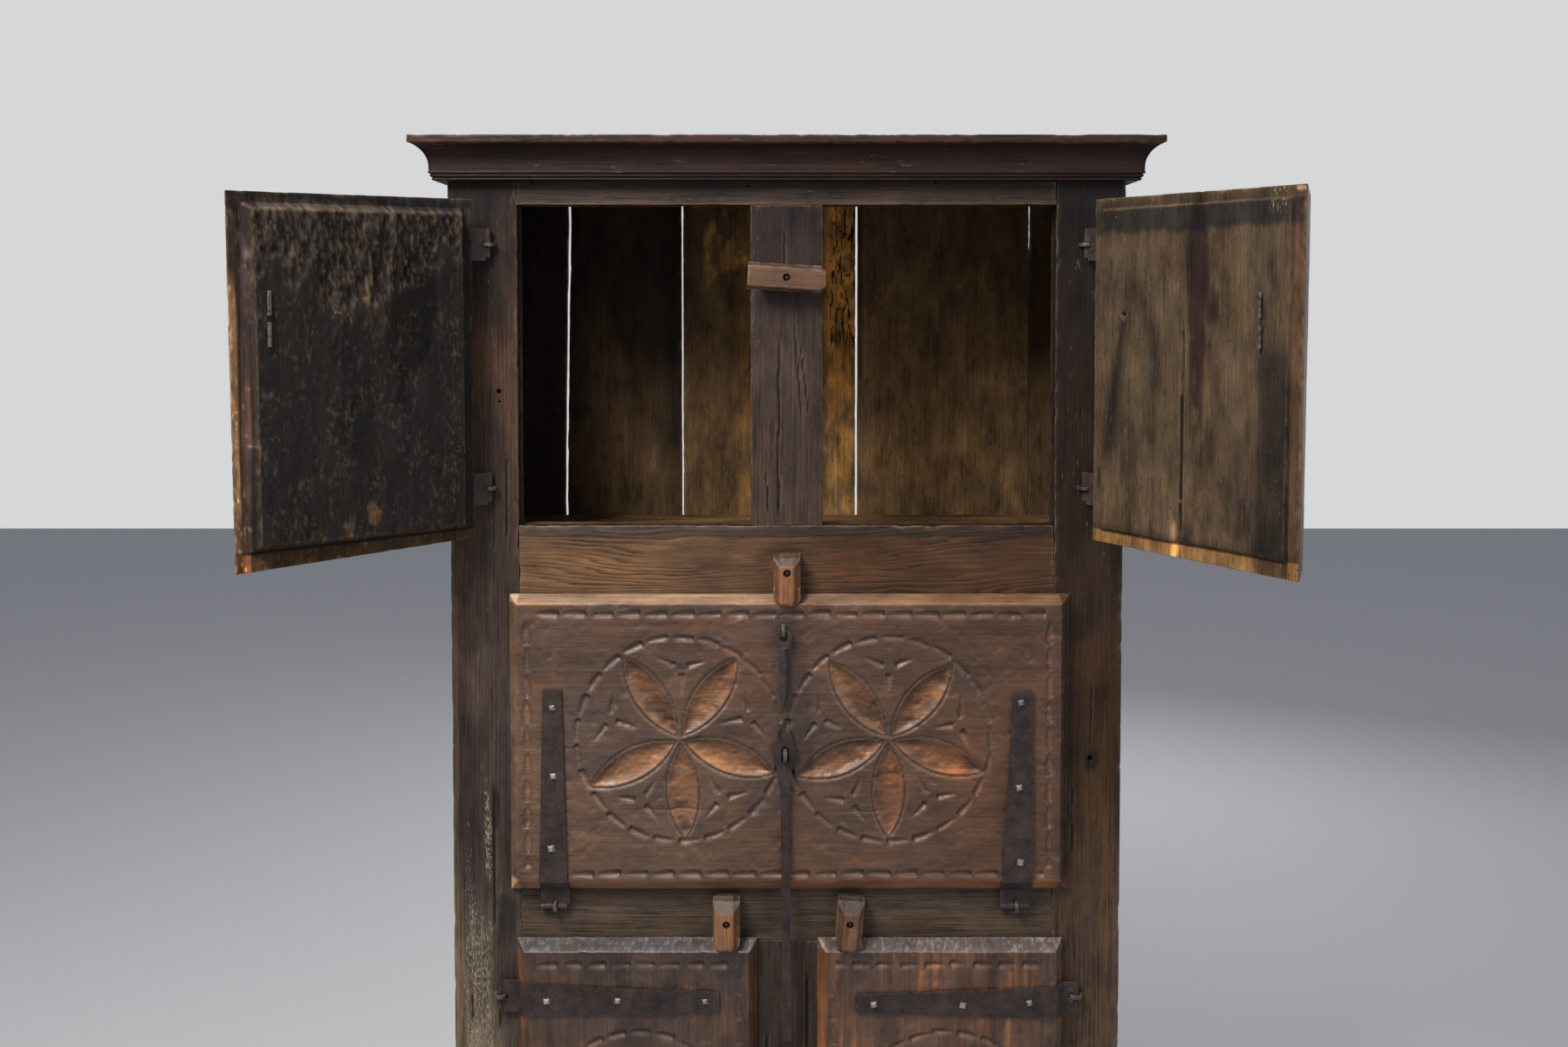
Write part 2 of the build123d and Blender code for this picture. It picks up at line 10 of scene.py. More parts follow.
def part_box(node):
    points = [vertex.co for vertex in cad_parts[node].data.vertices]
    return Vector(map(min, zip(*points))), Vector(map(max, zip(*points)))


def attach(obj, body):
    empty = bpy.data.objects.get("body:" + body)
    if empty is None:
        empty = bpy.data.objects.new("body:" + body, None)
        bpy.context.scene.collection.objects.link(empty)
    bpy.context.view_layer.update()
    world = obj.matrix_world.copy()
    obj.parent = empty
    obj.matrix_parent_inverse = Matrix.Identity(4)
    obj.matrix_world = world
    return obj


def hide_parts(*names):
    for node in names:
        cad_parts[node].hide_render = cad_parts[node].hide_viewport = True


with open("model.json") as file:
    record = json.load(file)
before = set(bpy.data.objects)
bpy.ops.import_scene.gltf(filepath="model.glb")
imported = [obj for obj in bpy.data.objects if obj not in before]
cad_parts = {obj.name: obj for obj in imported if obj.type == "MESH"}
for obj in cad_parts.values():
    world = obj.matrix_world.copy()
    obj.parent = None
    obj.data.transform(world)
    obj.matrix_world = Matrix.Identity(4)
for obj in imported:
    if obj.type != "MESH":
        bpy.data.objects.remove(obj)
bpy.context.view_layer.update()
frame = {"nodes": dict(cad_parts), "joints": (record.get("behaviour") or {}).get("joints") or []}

MM = 0.001
scene = bpy.context.scene
joints = {joint["name"]: joint for joint in frame["joints"]}
finished = {}


# ---- camera
VIEW_WIDTH, VIEW_HEIGHT = 1797, 1200
SENSOR_WIDTH = 36
FOCAL_PIXELS = 1688.5
OPTICAL_CENTRE = (897.7, 428.0)  # pixels from the view's top left corner
CAMERA_PLACE = (-0.0052, -2.7187, 1.7319)
CAMERA_DIP = 2.401

lens = bpy.data.cameras.new("camera")
lens.sensor_width = SENSOR_WIDTH
lens.lens = SENSOR_WIDTH * FOCAL_PIXELS / VIEW_WIDTH
lens.shift_x = (VIEW_WIDTH / 2 - OPTICAL_CENTRE[0]) / VIEW_WIDTH
lens.shift_y = (OPTICAL_CENTRE[1] - VIEW_HEIGHT / 2) / VIEW_WIDTH
camera = bpy.data.objects.new("camera", lens)
camera.location = CAMERA_PLACE
camera.rotation_euler = (radians(90 - CAMERA_DIP), 0, 0)
scene.collection.objects.link(camera)
scene.camera = camera


# ---- smooth random fields
def lattice(cell, seed):
    """A fixed random number in 0..1 for each whole-numbered cell."""
    h = cell[..., 0] * 374761393 + cell[..., 1] * 668265263 + cell[..., 2] * 974634777 + seed * 362437
    h = h & 0xFFFFFFFF
    h = (h ^ (h >> 13)) * 1274126177 & 0xFFFFFFFF
    h = (h ^ (h >> 15)) * 668265263 & 0xFFFFFFFF
    return ((h ^ (h >> 16)) & 0xFFFF) / 65535.0


def swell(points, size, seed, octaves):
    """Smooth noise in about -1..1; size is the width of a swell, one number or one per axis."""
    points = np.asarray(points, float) / np.asarray(size, float)
    total, weight, reach = 0.0, 1.0, 0.0
    for octave in range(octaves):
        p = points * 2**octave + 17.3 * (octave + seed)
        cell = np.floor(p).astype(np.int64)
        t = p - cell
        t = t * t * (3 - 2 * t)
        value = 0.0
        for corner in range(8):
            offset = np.array([corner & 1, corner >> 1 & 1, corner >> 2])
            share = np.prod(np.where(offset, t, 1 - t), axis=-1)
            value = value + share * lattice(cell + offset, seed + octave)
        total = total + weight * (2 * value - 1)
        reach += weight
        weight *= 0.5
    return total / reach


def unit(value):
    """Kept within 0..1."""
    return np.clip(value, 0, 1)


def ease(low, high, value):
    """0 below low, 1 above high, smooth between; low may be the larger."""
    t = unit((np.asarray(value, float) - low) / (high - low))
    return t * t * (3 - 2 * t)


def drift(points, size, seed, octaves):
    """Smooth noise in about 0..1."""
    return 0.5 + 0.5 * swell(points, size, seed, octaves)


def bell(distance, width):
    """1 at no distance, falling away to either side."""
    return np.exp(-((distance / width) ** 2))


def plane_points(x, y, z=0.0):
    x, y = np.broadcast_arrays(np.asarray(x, float), np.asarray(y, float))
    return np.stack([x, y, np.zeros_like(x) + z], axis=-1)


# ---- frames
def frame_of(origin, x_axis, y_axis, z_axis):
    """From a piece's own millimetres to the cupboard's."""
    place = np.eye(4)
    place[:3, 0], place[:3, 1], place[:3, 2], place[:3, 3] = x_axis, y_axis, z_axis, origin
    return place


def lying(top):
    """A level board's frame, its upper face at a height."""
    return frame_of((0, 0, top), (1, 0, 0), (0, 1, 0), (0, 0, 1))


def corners_mm(node):
    low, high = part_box(node)
    return np.array(low) / MM, np.array(high) / MM


FACE_Y = corners_mm("stile_left")[0][1]
# X to the right, Y up the front, Z out of the front face
FRONT = frame_of((0, FACE_Y, 0), (1, 0, 0), (0, 0, 1), (0, -1, 0))
UP = np.array((0.0, 0.0, 1.0))


PIVOT_OUT = 9  # hinge axes in front of the front frame


def leaf_place(name, side):
    """A door's own frame as it stands: X from its hinge along the board, Z out of its face.

    Z is 0 where the front frame's face is when the door is shut.
    """
    hinge = joints[name + "_hinge"]
    opened = radians(-hinge["range_deg"][0])
    along = np.array((side * cos(opened), -sin(opened), 0))
    out = np.array((-side * sin(opened), -cos(opened), 0))
    pivot = np.array(hinge["pos_m"]) / MM
    return frame_of(np.array((pivot[0], pivot[1], 0)) - PIVOT_OUT * out, along, UP, out)


# ---- meshes
def make_object(name, verts, faces, place, marks, material):
    """A closed mesh in the cupboard's frame. marks are values for the material, one per vertex."""
    verts = np.asarray(verts, float)
    world = verts @ place[:3, :3].T + place[:3, 3]
    if np.linalg.det(place[:3, :3]) < 0:
        faces = [tuple(reversed(face)) for face in faces]
    mesh = bpy.data.meshes.new(name)
    mesh.from_pydata((world * MM).tolist(), [], faces)
    for key, values in marks.items():
        values = np.asarray(values, float)
        if values.ndim == 1:
            layer = mesh.attributes.new(key, "FLOAT", "POINT")
            layer.data.foreach_set("value", values.ravel())
        elif key == "tint":
            layer = mesh.attributes.new(key, "FLOAT_COLOR", "POINT")
            rgba = np.concatenate([values, np.ones((len(values), 1))], axis=1)
            layer.data.foreach_set("color", rgba.ravel())
        else:
            layer = mesh.attributes.new(key, "FLOAT_VECTOR", "POINT")
            layer.data.foreach_set("vector", values.ravel())
    mesh.polygons.foreach_set("use_smooth", [True] * len(mesh.polygons))
    mesh.update()
    mesh.materials.append(material)
    made = bpy.data.objects.new(name, mesh)
    scene.collection.objects.link(made)
    return made


def cuts(low, high, step, near_low, near_high):
    """Positions of a grid's lines, about a step apart, with extra ones near either end."""
    count = max(int(round((high - low) / step)), 1)
    lines = np.linspace(low, high, count + 1)
    extra = [low + e for e in near_low] + [high - e for e in near_high]
    extra = [e for e in extra if low < e < high]
    gap = step * 0.3
    kept = [v for v in lines if all(abs(v - e) > gap for e in extra) or v in (low, high)]
    return np.array(sorted(kept + extra))


ARRIS = (0.35, 0.9, 1.8, 3.2)  # extra lines beside an edge, where it is rounded


def hollows(z):
    """How far each point of a grid lies below its neighbours, in millimetres; ridges are negative."""
    smooth = z
    for _ in range(2):
        padded = np.pad(smooth, 1, mode="edge")
        smooth = (padded[:-2, 1:-1] + padded[2:, 1:-1] + padded[1:-1, :-2] + padded[1:-1, 2:]
                  + padded[1:-1, 1:-1]) / 5
    return smooth - z


def slab(outline, front, back, step, back_every=1, lines=((), (), (), ()), extra_x=(), extra_y=(),
         rim_rows=4, arris=1.6, bite=1.0, bite_size=26, seed=0, fray=0.0, warp=None):
    """A board between two height fields over a four-sided outline.

    outline: lower left, lower right, upper right, upper left. front and back take x, y and the
    distances from the left, right, lower and upper edges and give the height. back_every thins
    the lines of the back, and warp moves x and y. Returns vertices, faces, the wear, hollows and
    upward slope at the vertices, and the side of each face: 0 front, 1 back, 2 rim.
    """
    (x0, y0), (x1, y1), (x2, y2), (x3, y3) = outline
    wide = (x1 - x0 + x2 - x3) / 2
    tall = (y3 - y0 + y2 - y1) / 2
    u = cuts(0, wide, step[0], ARRIS + tuple(lines[0]), ARRIS + tuple(lines[1]))
    v = cuts(0, tall, step[1], ARRIS + tuple(lines[2]), ARRIS + tuple(lines[3]))
    if len(extra_x):
        u = np.unique(np.concatenate([u, [e for e in extra_x if 0 < e < wide]]))
    if len(extra_y):
        v = np.unique(np.concatenate([v, [e for e in extra_y if 0 < e < tall]]))

    def face(u, v, height, out, seed):
        """One face's points, wear, hollows and upward slope; out is 1 for the front, -1 for the back."""
        gu, gv = np.meshgrid(u / wide, v / tall, indexing="xy")
        x = (1 - gv) * ((1 - gu) * x0 + gu * x1) + gv * ((1 - gu) * x3 + gu * x2)
        y = (1 - gv) * ((1 - gu) * y0 + gu * y1) + gv * ((1 - gu) * y3 + gu * y2)
        d = (gu * wide, (1 - gu) * wide, gv * tall, (1 - gv) * tall)
        near = np.minimum(np.minimum(d[0], d[1]), np.minimum(d[2], d[3]))
        p = plane_points(x, y, 40 * out)
        rough = unit(swell(p, bite_size, seed, 3) - 0.12) * 2.2
        fine = unit(swell(p, 9, seed + 5, 2))
        chip = bite * (rough + 0.35 * fine)
        radius = arris * (0.65 + 0.7 * rough + 0.25 * fine)
        t = unit(1 - near / radius)
        drop = radius * (1 - np.sqrt(1 - t * t)) + chip * 1.1 * np.exp(-near / 2.6)
        z = height(x, y, d) - out * drop
        shift = np.minimum(chip * 0.9, 2.5)
        if fray:
            shift = shift + fray * drift(p, 70, seed + 9, 3)
        worn = chip * np.exp(-near / 3.5) + np.exp(-near / 1.2) * 0.7
        facing_up = -out * np.gradient(z, axis=0) / np.maximum(np.gradient(y, axis=0), 0.1)
        x = x + shift * (np.exp(-d[0] / 4) - np.exp(-d[1] / 4))
        y = y + shift * (np.exp(-d[2] / 4) - np.exp(-d[3] / 4))
        if warp:
            x, y = warp(x, y)
        return np.stack([x, y, z], axis=-1), worn, out * hollows(z), facing_up

    iu = np.unique(np.r_[0 : len(u) : back_every, len(u) - 1])
    iv = np.unique(np.r_[0 : len(v) : back_every, len(v) - 1])
    verts, worn, hollow, facing_up, faces, rims, counts = [], [], [], [], [], [], []
    total = 0
    for side, grid in enumerate(((u, v, front, 1), (u[iu], v[iv], back, -1))):
        points, *marks = face(*grid, seed + 31 * side)
        verts.append(points.reshape(-1, 3))
        for kept, mark in zip((worn, hollow, facing_up), marks):
            kept.append(mark.ravel())
        index = total + np.arange(len(verts[-1])).reshape(points.shape[:2])
        quads = np.stack([index[:-1, :-1], index[:-1, 1:], index[1:, 1:], index[1:, :-1]],
                         axis=-1).reshape(-1, 4)
        faces += quads[:, [0, 3, 2, 1] if side else [0, 1, 2, 3]].tolist()
        rims.append(np.concatenate([index[0, :-1], index[:-1, -1], index[-1, :0:-1], index[:0:-1, 0]]))
        counts.append(len(quads))
        total += index.size

    # the back rim's points, one for each point of the front rim
    rim, back_rim = rims
    count, nu, nv = len(rim), len(u), len(v)
    on_back = np.concatenate([iu[:-1], nu - 1 + iv[:-1], nu + nv - 2 + (nu - 1 - iu[:0:-1]),
                              2 * nu + nv - 3 + (nv - 1 - iv[:0:-1])])
    places = np.append(on_back, count)
    closed = verts[1][np.append(back_rim, back_rim[0]) - nu * nv]
    spread = np.stack([np.interp(np.arange(count), places, closed[:, k]) for k in range(3)], axis=-1)
    previous = rim
    for share in [k / rim_rows for k in range(1, rim_rows)]:
        ring = verts[0][rim] * (1 - share) + spread * share
        verts.append(ring)
        worn.append(np.full(count, 0.12) + 0.3 * unit(swell(ring, 20, seed + 3, 2)))
        new = np.arange(total, total + count)
        faces += np.stack([previous, new, np.roll(new, -1), np.roll(previous, -1)], axis=-1).tolist()
        previous = new
        total += count
    for k, (start, stop) in enumerate(zip(on_back, places[1:])):
        top = [int(previous[i % count]) for i in range(start, stop + 1)]
        faces.append((*top[::-1], int(back_rim[k]), int(back_rim[(k + 1) % len(back_rim)])))
    verts, worn = np.concatenate(verts), np.concatenate(worn)
    hollow, facing_up = (np.pad(np.concatenate(mark), (0, len(verts) - sum(map(len, mark))))
                         for mark in (hollow, facing_up))
    worn = np.clip(worn + np.clip(-hollow / 0.5 - 0.3, 0, 0.4), 0, 1.4)
    face_side = np.repeat((0, 1, 2), (*counts, len(faces) - sum(counts)))
    return verts, faces, worn, hollow, facing_up, face_side


def grain_marks(verts, along, seed):
    """Where each vertex lies in its own plank, in metres: along the grain, across it, in its depth."""
    order = {"x": (0, 1, 2), "y": (1, 0, 2)}[along]
    start = np.array((seed * 3.17 % 11, seed * 1.31 % 5, 0.0))
    return verts[:, order] * MM + start


def plank(node, body, outline, place, front, back, step, material, along="x", seed=0,
          tint=None, deep=None, grime=0.5, flaked=None, back_material=None, slope_light=0.0, **shape):
    """A wooden piece between two height fields; it stands for a CAD node and rides on its body.

    polish paints light into the colour: a pale sheen on the walls of cuts that face up, and shade on those
    that face down.
    """
    verts, faces, worn, hollow, facing_up, face_side = slab(outline, front, back, step, seed=seed, **shape)
    count = len(verts)
    # painted light: a sheen on walls that face up and shade on walls that face down
    sheen_and_shade = tinted(
        verts,
        (slope_light * unit(facing_up / 0.7), (2.0, 2.1, 2.3)),
        (slope_light * unit(-facing_up / 0.7), (0.45, 0.43, 0.45)),
    )
    marks = {
        "grain": grain_marks(verts, along, seed),
        "worn": worn,
        "deep": unit(grime * unit(hollow / 0.7 - 0.1) + (deep(verts) if deep else 0)),
        "tint": sheen_and_shade * (tint(verts) if tint else 1.0),
        "flaked": unit(flaked(verts)) if flaked else np.zeros(count),
    }
    made = make_object(node, verts, faces, place, marks, material)
    if back_material:
        made.data.materials.append(back_material)
        made.data.polygons.foreach_set("material_index", (face_side == 1).astype(int).tolist())
    finished[node] = (made, body)


def level(height):
    return lambda x, y, d: np.full_like(x, height)


# ---- material nodes
def give(tree, sockets, values):
    """Links or sets sockets by name or number; a colour needs only three numbers."""
    for key, value in values.items():
        if isinstance(value, bpy.types.NodeSocket):
            tree.links.new(value, sockets[key])
        elif sockets[key].type == "RGBA":
            sockets[key].default_value = tuple(value)[:3] + (1.0,)
        else:
            sockets[key].default_value = value


def add(tree, kind, inputs=None, **settings):
    """A node with its settings; inputs are values or sockets, by name or number."""
    made = tree.nodes.new(kind)
    for key, value in settings.items():
        setattr(made, key, value)
    give(tree, made.inputs, inputs or {})
    return made


def math(tree, operation, a, b=0.0, clamp=False):
    return add(tree, "ShaderNodeMath", {0: a, 1: b}, operation=operation, use_clamp=clamp).outputs[0]


def times(tree, a, b, clamp=False):
    return math(tree, "MULTIPLY", a, b, clamp)


def plus(tree, a, b, clamp=False):
    return math(tree, "ADD", a, b, clamp)


def minus(tree, a, b, clamp=False):
    return math(tree, "SUBTRACT", a, b, clamp)


def swing(tree, value, reach):
    """A 0..1 value swung about 0."""
    return times(tree, minus(tree, value, 0.5), reach)


def ramp(tree, value, low, high, out_low=0.0, out_high=1.0):
    inputs = {"Value": value, "From Min": low, "From Max": high, "To Min": out_low, "To Max": out_high}
    return add(tree, "ShaderNodeMapRange", inputs, interpolation_type="SMOOTHSTEP").outputs["Result"]


def blend_colour(tree, factor, a, b, mode="MIX"):
    made = add(tree, "ShaderNodeMix", data_type="RGBA", blend_type=mode, clamp_factor=True)
    give(tree, made.inputs, {0: factor, 6: a, 7: b})
    return made.outputs[2]


def noise_node(tree, vector, scale, detail, roughness=0.55):
    inputs = {"Vector": vector, "Scale": scale, "Detail": detail, "Roughness": roughness}
    return add(tree, "ShaderNodeTexNoise", inputs).outputs["Fac"]


def stretched(tree, vector, scale, location=(0, 0, 0)):
    inputs = {"Vector": vector, "Scale": scale, "Location": location}
    return add(tree, "ShaderNodeMapping", inputs).outputs["Vector"]


def fibres(tree, place, scale, detail, roughness=0.55, location=(0, 0, 0)):
    """Noise drawn out along the grain."""
    return noise_node(tree, stretched(tree, place, scale, location), 1.0, detail, roughness)


def new_group(name, inputs, outputs):
    """An empty node group; the names of its inputs and outputs stand under their kind."""
    tree = bpy.data.node_groups.new(name, "ShaderNodeTree")
    kinds = {"number": "NodeSocketFloat", "vector": "NodeSocketVector", "colour": "NodeSocketColor"}
    for way, sockets in (("INPUT", inputs), ("OUTPUT", outputs)):
        for kind, labels in sockets.items():
            for label in labels:
                tree.interface.new_socket(label, in_out=way, socket_type=kinds[kind])
    return tree, tree.nodes.new("NodeGroupInput").outputs, tree.nodes.new("NodeGroupOutput").inputs


def attribute(tree, name, output="Fac"):
    return add(tree, "ShaderNodeAttribute", attribute_name=name).outputs[output]


def oak_grain_group():
    """Growth rings cut by the saw, long pores, fine streaks and slow changes of colour."""
    tree, given, result = new_group(
        "oak_grain",
        {"vector": ("Place", "Pith"), "number": ("Ring Spacing", "Ring Contrast", "Wander", "Streaks")},
        {"number": ("Figure", "Pores", "Mottle", "Height")},
    )
    place = given["Place"]
    bend = fibres(tree, place, (1.6, 9, 9), 3.0, 0.5)
    bend_b = fibres(tree, place, (1.1, 5, 5), 2.0, 0.5, (7, 3, 1))
    split = add(tree, "ShaderNodeSeparateXYZ", {0: place}).outputs
    pith = add(tree, "ShaderNodeSeparateXYZ", {0: given["Pith"]}).outputs
    wander = swing(tree, bend, times(tree, given["Wander"], 4.0))
    across = plus(tree, minus(tree, split["Y"], pith["Y"]), wander)
    rise = swing(tree, bend_b, 0.16)
    deep = plus(tree, plus(tree, split["Z"], pith["Z"]), rise)
    squares = plus(tree, times(tree, across, across), times(tree, deep, deep))
    turns = math(tree, "DIVIDE", math(tree, "SQRT", squares), given["Ring Spacing"])
    uneven_rings = fibres(tree, place, (3, 60, 60), 3.0)
    turns = plus(tree, turns, times(tree, uneven_rings, 2.4))
    saw = math(tree, "FRACT", turns)
    ring = times(tree, ramp(tree, saw, 0.0, 0.72), ramp(tree, saw, 1.0, 0.86))
    faded = ramp(tree, fibres(tree, place, (4, 14, 14), 3.0, 0.55, (2, 2, 9)), 0.35, 0.62)
    ring_share = times(tree, given["Ring Contrast"], faded)
    streak = fibres(tree, place, (6, 330, 200), 4.0, 0.65)
    fine = fibres(tree, place, (26, 1300, 900), 3.0, 0.6)
    figure = swing(tree, ring, ring_share)
    thread = swing(tree, streak, 1.7)
    thread = plus(tree, thread, swing(tree, fine, 0.9))
    figure = plus(tree, figure, times(tree, thread, given["Streaks"]))
    figure = plus(tree, figure, 0.5, clamp=True)
    pore_line = ramp(tree, fibres(tree, place, (48, 1050, 800), 2.0, 0.5), 0.56, 0.68)
    open_ring = ramp(tree, saw, 0.45, 0.0)
    pores = times(tree, pore_line, plus(tree, times(tree, open_ring, 0.6), 0.4), clamp=True)
    mottle = fibres(tree, place, (10, 24, 24), 6.0, 0.66, (3, 9, 2))
    height = plus(tree, times(tree, ring, times(tree, ring_share, 0.5)),
                  times(tree, fine, 0.45))
    height = plus(tree, height, times(tree, streak, 0.5))
    height = minus(tree, height, times(tree, pores, 0.6))
    give(tree, result, {"Figure": figure, "Pores": pores, "Mottle": mottle, "Height": height})
    return tree


def old_finish_group():
    """Years of handling over the grain: grime in hollows with painted shade in carved cuts, rubbed edges,
    dry scuffs, flaking and dust.
    """
    tree, given, result = new_group(
        "old_finish",
        {"vector": ("Place",), "colour": ("Tint", "Dark", "Pale", "Bare", "Bloom", "Grime And Shade", "Flake"),
         "number": ("Figure", "Pores", "Mottle", "Height", "Worn", "Deep", "Flaked", "Mottling", "Scuffs",
                    "Haze",
                    "Gloss", "Rubbing", "Worm")},
        {"colour": ("Colour",), "number": ("Roughness", "Relief")},
    )
    place = given["Place"]
    patchy = swing(tree, given["Mottle"], given["Mottling"])
    tone = plus(tree, given["Figure"], patchy, clamp=True)
    colour = blend_colour(tree, tone, given["Dark"], given["Pale"])
    haze = ramp(tree, fibres(tree, place, (11, 60, 60), 5.0, 0.65, (5, 2, 7)), 0.46, 0.7)
    colour = blend_colour(tree, times(tree, haze, given["Haze"]), colour, given["Bloom"])
    colour = blend_colour(tree, 1.0, colour, given["Tint"], "MULTIPLY")
    scratch = fibres(tree, place, (45, 330, 330), 4.0, 0.7, (2, 6, 4))
    scuff_zone = fibres(tree, place, (14, 22, 22), 3.0, 0.6, (9, 1, 3))
    scuff = times(tree, ramp(tree, scratch, 0.6, 0.68), ramp(tree, scuff_zone, 0.5, 0.66))
    scuff = times(tree, scuff, given["Scuffs"], clamp=True)
    colour = blend_colour(tree, scuff, colour, given["Flake"])
    ragged = fibres(tree, place, (60, 120, 120), 4.0, 0.65, (4, 4, 4))
    rub = times(tree, given["Worn"], ramp(tree, ragged, 0.32, 0.62))
    rub = times(tree, rub, given["Rubbing"], clamp=True)
    colour = blend_colour(tree, rub, colour, given["Bare"])
    chips = fibres(tree, place, (120, 560, 560), 4.0, 0.7, (6, 3, 1))
    threshold = minus(tree, 0.86, times(tree, given["Flaked"], 0.36))
    flake = add(tree, "ShaderNodeMapRange", {
        "Value": chips, "From Min": threshold, "From Max": plus(tree, threshold, 0.05),
    }, interpolation_type="SMOOTHSTEP").outputs["Result"]
    flake = times(tree, flake, ramp(tree, given["Flaked"], 0.02, 0.2))
    colour = blend_colour(tree, flake, colour, given["Flake"])
    # Deep brings grime in hollows, and the dark marks of carved cuts, which are painted shade with some
    # grime
    dirt_and_shade = plus(tree, times(tree, given["Pores"], 0.6), given["Deep"], clamp=True)
    cells = add(tree, "ShaderNodeTexVoronoi",
                {"Vector": stretched(tree, place, (1.0, 1.3, 1.3)), "Scale": 120.0})
    drilled = math(tree, "LESS_THAN", cells.outputs["Distance"], 0.16)
    chosen = add(tree, "ShaderNodeSeparateXYZ", {0: cells.outputs["Color"]}).outputs["X"]
    swarm = ramp(tree, noise_node(tree, place, 14.0, 2.0), 0.45, 0.62)
    chosen = math(tree, "LESS_THAN", chosen, times(tree, given["Worm"], swarm))
    worm_holes = times(tree, drilled, chosen)
    dirt_and_shade = math(tree, "MAXIMUM", dirt_and_shade, worm_holes)
    colour = blend_colour(tree, dirt_and_shade, colour, given["Grime And Shade"])
    rough = plus(tree, given["Gloss"], times(tree, haze, 0.12))
    rough = plus(tree, rough, times(tree, math(tree, "MAXIMUM", dirt_and_shade, flake), 0.2))
    rough = plus(tree, rough, swing(tree, given["Mottle"], 0.35), clamp=True)
    relief = plus(tree, given["Height"], times(tree, flake, 0.5))
    relief = plus(tree, relief, times(tree, ragged, 0.35))
    relief = minus(tree, relief, worm_holes)
    give(tree, result, {"Colour": colour, "Roughness": rough, "Relief": relief})
    return tree


OAK_GRAIN = oak_grain_group()
OLD_FINISH = old_finish_group()


def new_material(name):
    material = bpy.data.materials.new(name)
    material.use_nodes = True
    material.node_tree.nodes.clear()
    return material, material.node_tree


def surface(tree, finish, relief, distance, **values):
    """The shader over the colour, roughness and relief that a finish gives."""
    bump = add(tree, "ShaderNodeBump", {"Height": finish["Relief"], "Strength": relief,
                                        "Distance": distance})
    shader = add(tree, "ShaderNodeBsdfPrincipled", {
        "Base Color": finish["Colour"], "Roughness": finish["Roughness"], "Normal": bump.outputs["Normal"],
        **values,
    })
    add(tree, "ShaderNodeOutputMaterial", {"Surface": shader.outputs["BSDF"]})


# the darkest colour here, for grime, also paints the shade in carved cuts
PLAIN_OAK = {
    "Flake": (0.30, 0.24, 0.15), "Grime And Shade": (0.008, 0.0065, 0.006), "Ring Spacing": 0.007,
    "Ring Contrast": 0.25,
    "Streaks": 1.0, "Wander": 0.012, "Pith": (0, 0.03, 0.06), "Mottling": 1.5, "Scuffs": 0.3, "Haze": 0.25,
    "Gloss": 0.5, "Rubbing": 0.8, "Worm": 0.0,
}


def oak(name, dark, pale, bare, bloom, relief=0.5, shine=0.3, **changes):
    """An oak finish; changes are values of PLAIN_OAK by their names in small letters."""
    material, tree = new_material(name)
    values = {"Dark": dark, "Pale": pale, "Bare": bare, "Bloom": bloom, **PLAIN_OAK}
    values.update({key.replace("_", " ").title(): value for key, value in changes.items()})
    values["Place"] = attribute(tree, "grain", "Vector")
    values["Tint"] = attribute(tree, "tint", "Color")
    values.update({key: attribute(tree, key.lower()) for key in ("Worn", "Deep", "Flaked")})

    def placed(group):
        made = add(tree, "ShaderNodeGroup", node_tree=group)
        give(tree, made.inputs, {socket.name: values[socket.name] for socket in made.inputs})
        return made.outputs

    values.update({socket.name: socket for socket in placed(OAK_GRAIN)})
    surface(tree, placed(OLD_FINISH), relief, 0.0012, **{"Specular IOR Level": shine})
    return material


def forged_iron_group():
    """Scale, pits and rubbed spots of hand-forged iron, from Object coordinates; Rubbed also carries painted
    highlights along arrises that face up.
    """
    tree, given, result = new_group(
        "forged_iron",
        {"vector": ("Place",), "colour": ("Dark", "Pale", "Rust", "Steel"), "number": ("Rubbed", "Rusting")},


        {"colour": ("Colour",), "number": ("Roughness", "Relief")},
    )
    place = given["Place"]
    cloud = noise_node(tree, place, 38.0, 5.0, 0.62)
    speck = noise_node(tree, place, 520.0, 3.0, 0.7)
    hammer = noise_node(tree, place, 95.0, 2.0, 0.5)
    tone = plus(tree, times(tree, cloud, 0.6), times(tree, speck, 0.5))
    colour = blend_colour(tree, ramp(tree, tone, 0.38, 0.75), given["Dark"], given["Pale"])
    rust = ramp(tree, noise_node(tree, place, 60.0, 6.0, 0.7), 0.48, 0.68)
    colour = blend_colour(tree, times(tree, rust, given["Rusting"]), colour, given["Rust"])
    spark = times(tree, ramp(tree, speck, 0.64, 0.74), 0.55)
    ragged = ramp(tree, noise_node(tree, place, 160.0, 3.0, 0.6), 0.35, 0.6)
    bright = math(tree, "MAXIMUM", spark, times(tree, given["Rubbed"], ragged), clamp=True)
    colour = blend_colour(tree, bright, colour, given["Steel"])
    rough = plus(tree, ramp(tree, cloud, 0.3, 0.7, 0.45, 0.62), times(tree, rust, 0.1), clamp=True)
    rough = minus(tree, rough, times(tree, bright, 0.14), clamp=True)
    relief = plus(tree, times(tree, hammer, 0.8), times(tree, speck, 0.3))
    give(tree, result, {"Colour": colour, "Roughness": rough, "Relief": relief})
    return tree


FORGED_IRON = forged_iron_group()


def iron(name, dark, pale, rust, steel, rusting, metallic=0.0, shine=0.3):
    material, tree = new_material(name)
    place = add(tree, "ShaderNodeTexCoord").outputs["Object"]
    finish = add(tree, "ShaderNodeGroup", {
        "Place": place, "Rubbed": attribute(tree, "rubbed"), "Dark": dark, "Pale": pale, "Rust": rust,
        "Steel": steel, "Rusting": rusting,
    }, node_tree=FORGED_IRON).outputs
    surface(tree, finish, 0.5, 0.0015, **{"Metallic": metallic, "Specular IOR Level": shine})
    return material


